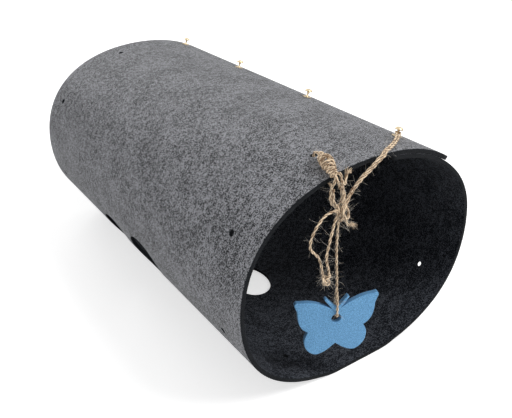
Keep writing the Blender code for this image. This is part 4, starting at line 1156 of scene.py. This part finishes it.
def bm_piece(name, bm, material):
    """A smooth piece with sharp edges, from a bmesh."""
    mesh = mesh_from(name, bm)
    mesh.shade_smooth()
    mesh.set_sharp_from_angle(angle=math.radians(SHARP_DEGREES))
    mesh.materials.append(material)
    return linked(name, mesh)


def turned_piece(name, profile, frame, material):
    """A solid turned from (radius, height) points that start and end on its axis, put in place."""
    bm = bmesh.new()
    verts = [bm.verts.new((radius, 0.0, height)) for radius, height in profile]
    edges = [bm.edges.new(pair) for pair in zip(verts[:-1], verts[1:])]
    bmesh.ops.spin(bm, geom=verts + edges, cent=(0, 0, 0), axis=(0, 0, 1), angle=2.0 * math.pi,
                   steps=TURNED_SIDES, use_merge=True)
    bmesh.ops.remove_doubles(bm, verts=bm.verts, dist=MERGE_DISTANCE)
    bmesh.ops.recalc_face_normals(bm, faces=bm.faces)
    bmesh.ops.transform(bm, matrix=frame, verts=bm.verts)
    return bm_piece(name, bm, material)


def dome(radius, base, rise, steps):
    """The points of a dome from its rim to its middle."""
    turns = [0.5 * math.pi * step / steps for step in range(1, steps + 1)]
    points = [(radius * math.cos(turn), base + rise * math.sin(turn)) for turn in turns]
    return points[:-1] + [(0.0, points[-1][1])]


def stud_profile(stud, felt):
    """Shank, flange, trumpet neck and domed head of a stud, from its bore to the top of its head."""
    head, flange, neck = 0.5 * stud.head, 0.5 * stud.flange, 0.5 * stud.neck
    end = -(2.0 * felt.thickness + felt.layer_gap)
    points = [(0.0, end + BORE_DEPTH), (BORE_RADIUS, end + BORE_DEPTH), (BORE_RADIUS, end),
              (SHANK_RADIUS, end), (SHANK_RADIUS, 0.0), (flange, 0.0)]
    points += [(flange - FLANGE_ROUND * (1.0 - math.sin(turn)), FLANGE_SIDE + FLANGE_SIDE * math.sin(turn))
               for turn in (0.5, 1.0, 1.5)]
    points.append((0.55 * flange, FLANGE_TOP))
    for share in (step / 12 for step in range(13)):
        flare = min(1.0, abs(2.0 * share - NECK_WAIST_SHARE) ** NECK_POWER)
        points.append((neck + NECK_FLARE * flare, FLANGE_TOP + (NECK_RISE - NECK_TAPER) * share))
    base = FLANGE_TOP + NECK_RISE
    points += [(share * head, base + rise) for share, rise in HEAD_RIM]
    return points + dome(head, base + HEAD_RIM[-1][1], HEAD_DOME, 12)


class TUNNEL_OT_studs(bpy.types.Operator):
    """Build the brass studs and the slotted screws that hold them"""

    bl_idname = "tunnel.studs"
    bl_label = "Studs and screws"

    def execute(self, context):
        felt, stud = context.scene.tunnel_felt, context.scene.tunnel_studs
        roll, brass = Roll(felt), brass_material(stud)
        under = HEAD_PRESS - 2.0 * felt.thickness - felt.layer_gap
        screw_profile = SCREW_SHANK + tuple(dome(*SCREW_SHANK[-1], SCREW_DOME, 8))
        for index, y in enumerate(stud_rows()):
            piece = turned_piece(f"stud_{index + 1}_turned", stud_profile(stud, felt),
                                 roll.stud_frame(y, SEAT_GAP), brass)
            stands_for(piece, "tunnel", "brass", f"stud_{index + 1}")
            frame = roll.stud_frame(y, under)
            screw = turned_piece(f"screw_{index + 1}_turned", screw_profile, frame, brass)
            slot = bmesh.new()
            bmesh.ops.create_cube(slot, size=1.0)
            turn = Matrix.Rotation(SLOT_TURN + SLOT_TURN_STEP * index, 4, "Z")
            box = Matrix.Translation((0.0, 0.0, -SLOT_DROP)) @ Matrix.Diagonal((*SLOT_SIZE, 1.0))
            bmesh.ops.transform(slot, verts=slot.verts, matrix=frame @ turn @ box)
            cutter = bm_piece("slot_cutter", slot, brass)
            cut = screw.modifiers.new("slot", "BOOLEAN")
            cut.object, cut.solver = cutter, "EXACT"
            mesh = bpy.data.meshes.new_from_object(screw.evaluated_get(context.evaluated_depsgraph_get()))
            screw.modifiers.clear()
            screw.data = mesh
            mesh.set_sharp_from_angle(angle=math.radians(SHARP_DEGREES))
            bpy.data.objects.remove(cutter)
            stands_for(screw, "tunnel", "brass", f"stud_screw_{index + 1}")
        return {"FINISHED"}


def toy_frame():
    """Placing of the toy, from the centre of its hole."""
    return Matrix.Translation(TOY_HOLE) @ Matrix.Rotation(math.radians(TOY_TURN_DEGREES), 4, "Z")


def moved(points, frame):
    return np.array([tuple(frame @ Vector(point)) for point in points])


def butterfly_outline(half_width):
    """The butterfly's outline, anticlockwise, about the centre of its hole."""
    antenna, *wings = (np.array([(across, up, 0.0) for across, up in shares]) * half_width
                       for shares in (ANTENNA_SHARES[:-1], *WING_SHARES))
    curved = [smooth_route(stretch, TOY_STEP)[:-1] for stretch in wings]
    half = np.vstack((antenna, *curved, wings[-1][-1:]))[:, :2]
    return densify(np.vstack((half, half[1:-1][::-1] * (-1.0, 1.0)))[::-1], TOY_STEP)


class TUNNEL_OT_butterfly(bpy.types.Operator):
    """Cut the butterfly from thick blue felt"""

    bl_idname = "tunnel.butterfly"
    bl_label = "Butterfly"

    def execute(self, context):
        toy = context.scene.tunnel_toy
        hole = 0.5 * toy.hole
        loops = [outline_ring(butterfly_outline(toy.half_width)), ring(0.0, 0.0, hole, hole, 48)]
        points, cells = felt_plate(loops, TOY_MESH_STEP, toy.thickness, TOY_EDGE_ROUND, 6)
        front = np.column_stack((points[:, 0], -0.5 * toy.thickness - points[:, 2], points[:, 1]))
        depth = -points[:, 2] / toy.thickness
        # The cut edge's share also places the painted shade on the butterfly's edge.
        rim = rim_share(depth, TOY_RIM_EASE_SHARE)
        piece = mesh_piece("butterfly_felt", moved(front, toy_frame()), [cell[::-1] for cell in cells],
                           toy_material(toy), {"flat": points, "inside": rim, "fuzzy": TOY_FACE_FUZZ + rim})
        stands_for(piece, "toy", "blue_felt", "butterfly")
        hair = fuzz_material("blue_fibres", tuple(toy.dark), tuple(toy.light))
        grow_fibres("butterfly_fibres", piece.data, TOY_HAIR, hair, "toy", 4)
        return {"FINISHED"}


# The studio

def lamp(name, place, aim, power):
    """A round lamp that points at a place."""
    light = bpy.data.lights.new(name, "AREA")
    light.shape, light.size, light.energy = "DISK", LAMP_SIZE, power
    piece = linked(name, light)
    piece.location = place
    piece.rotation_euler = (Vector(aim) - Vector(place)).to_track_quat("-Z", "Y").to_euler()


class TUNNEL_OT_stage(bpy.types.Operator):
    """Set up the camera, the white floor and the soft lamps"""

    bl_idname = "tunnel.stage"
    bl_label = "Studio"

    def execute(self, context):
        scene, stage = context.scene, context.scene.tunnel_stage
        yaw, pitch, roll = (math.radians(turn) for turn in (CAMERA_YAW, CAMERA_PITCH, CAMERA_ROLL))
        ahead = Vector((math.sin(yaw) * math.cos(pitch), math.cos(yaw) * math.cos(pitch), -math.sin(pitch)))
        right = Vector((math.cos(yaw), -math.sin(yaw), 0.0))
        up = right.cross(ahead)
        turned_right = right * math.cos(roll) + up * math.sin(roll)
        turned_up = up * math.cos(roll) - right * math.sin(roll)
        camera = linked("camera", bpy.data.cameras.new("camera"))
        camera.data.lens, camera.data.sensor_width = CAMERA_LENS, SENSOR_WIDTH
        frame = Matrix((turned_right, turned_up, -ahead)).transposed().to_4x4()
        camera.matrix_world = Matrix.Translation(CAMERA_PLACE) @ frame
        scene.camera = camera
        scene.view_settings.view_transform = "Standard"

        scene.world = bpy.data.worlds.new("studio")
        scene.world.use_nodes = True
        scene.world.node_tree.nodes.clear()
        nodes = Nodes(scene.world.node_tree)
        rays = nodes.add("ShaderNodeLightPath", out="Is Camera Ray")
        seen = rays.math("MAXIMUM", rays.of("Is Glossy Ray"))
        white = (1.0, 1.0, 1.0, 1.0)
        glow = nodes.add("ShaderNodeBackground", {}, {
            "Color": white, "Strength": stage.world + seen * (1.0 - stage.world)})
        nodes.add("ShaderNodeOutputWorld", {}, {"Surface": glow})

        nodes = Material("white_floor")
        diffuse = nodes.add("ShaderNodeBsdfDiffuse", {}, {"Color": (*[FLOOR_SHADE] * 3, 1.0)})
        rays = nodes.add("ShaderNodeLightPath", out="Is Camera Ray")
        shine = nodes.add("ShaderNodeEmission", {}, {"Color": white, "Strength": FLOOR_GLOW * rays})
        shade = nodes.output(nodes.add("ShaderNodeAddShader", {}, {0: diffuse, 1: shine}))
        corners = [(x * FLOOR_HALF, y * FLOOR_HALF, 0.0) for x, y in ((-1, -1), (1, -1), (1, 1), (-1, 1))]
        floor = mesh_piece("floor", corners, [(0, 1, 2, 3)], shade)
        floor.location.z = -FLOOR_DROP
        for name, (place, aim) in LAMPS.items():
            lamp(name, place, aim, getattr(stage, name))
        return {"FINISHED"}


OPERATORS = (TUNNEL_OT_stage, TUNNEL_OT_felt, TUNNEL_OT_studs, TUNNEL_OT_ties, TUNNEL_OT_bridle,
             TUNNEL_OT_string, TUNNEL_OT_butterfly)
SETTINGS = {"tunnel_felt": FeltSettings, "tunnel_twine": TwineSettings, "tunnel_studs": StudSettings,
            "tunnel_toy": ToySettings, "tunnel_stage": StageSettings}


class TUNNEL_PT_panel(bpy.types.Panel):
    """Lists the tunnel's pieces and their sizes"""

    bl_idname = "TUNNEL_PT_panel"
    bl_label = "Pet tunnel"
    bl_space_type = "VIEW_3D"
    bl_region_type = "UI"
    bl_category = "Pet tunnel"

    def draw(self, context):
        for operator in OPERATORS:
            self.layout.operator(operator.bl_idname)
        for name, group in SETTINGS.items():
            box = self.layout.box()
            for key in group.__annotations__:
                box.prop(getattr(context.scene, name), key)


def register():
    for group in (*SETTINGS.values(), *OPERATORS, TUNNEL_PT_panel):
        bpy.utils.register_class(group)
    for name, group in SETTINGS.items():
        setattr(bpy.types.Scene, name, PointerProperty(type=group))


def unregister():
    for name in SETTINGS:
        delattr(bpy.types.Scene, name)
    for group in reversed((*SETTINGS.values(), *OPERATORS, TUNNEL_PT_panel)):
        bpy.utils.unregister_class(group)


def main():
    for obj in [item for item in bpy.context.scene.objects if item.type in ("LIGHT", "CAMERA")]:
        bpy.data.objects.remove(obj)
    register()
    bpy.ops.tunnel.stage()
    bpy.ops.tunnel.felt()
    bpy.ops.tunnel.studs()
    bpy.ops.tunnel.ties()
    bpy.ops.tunnel.bridle()
    bpy.ops.tunnel.string()
    bpy.ops.tunnel.butterfly()


if __name__ == "__main__":
    main()
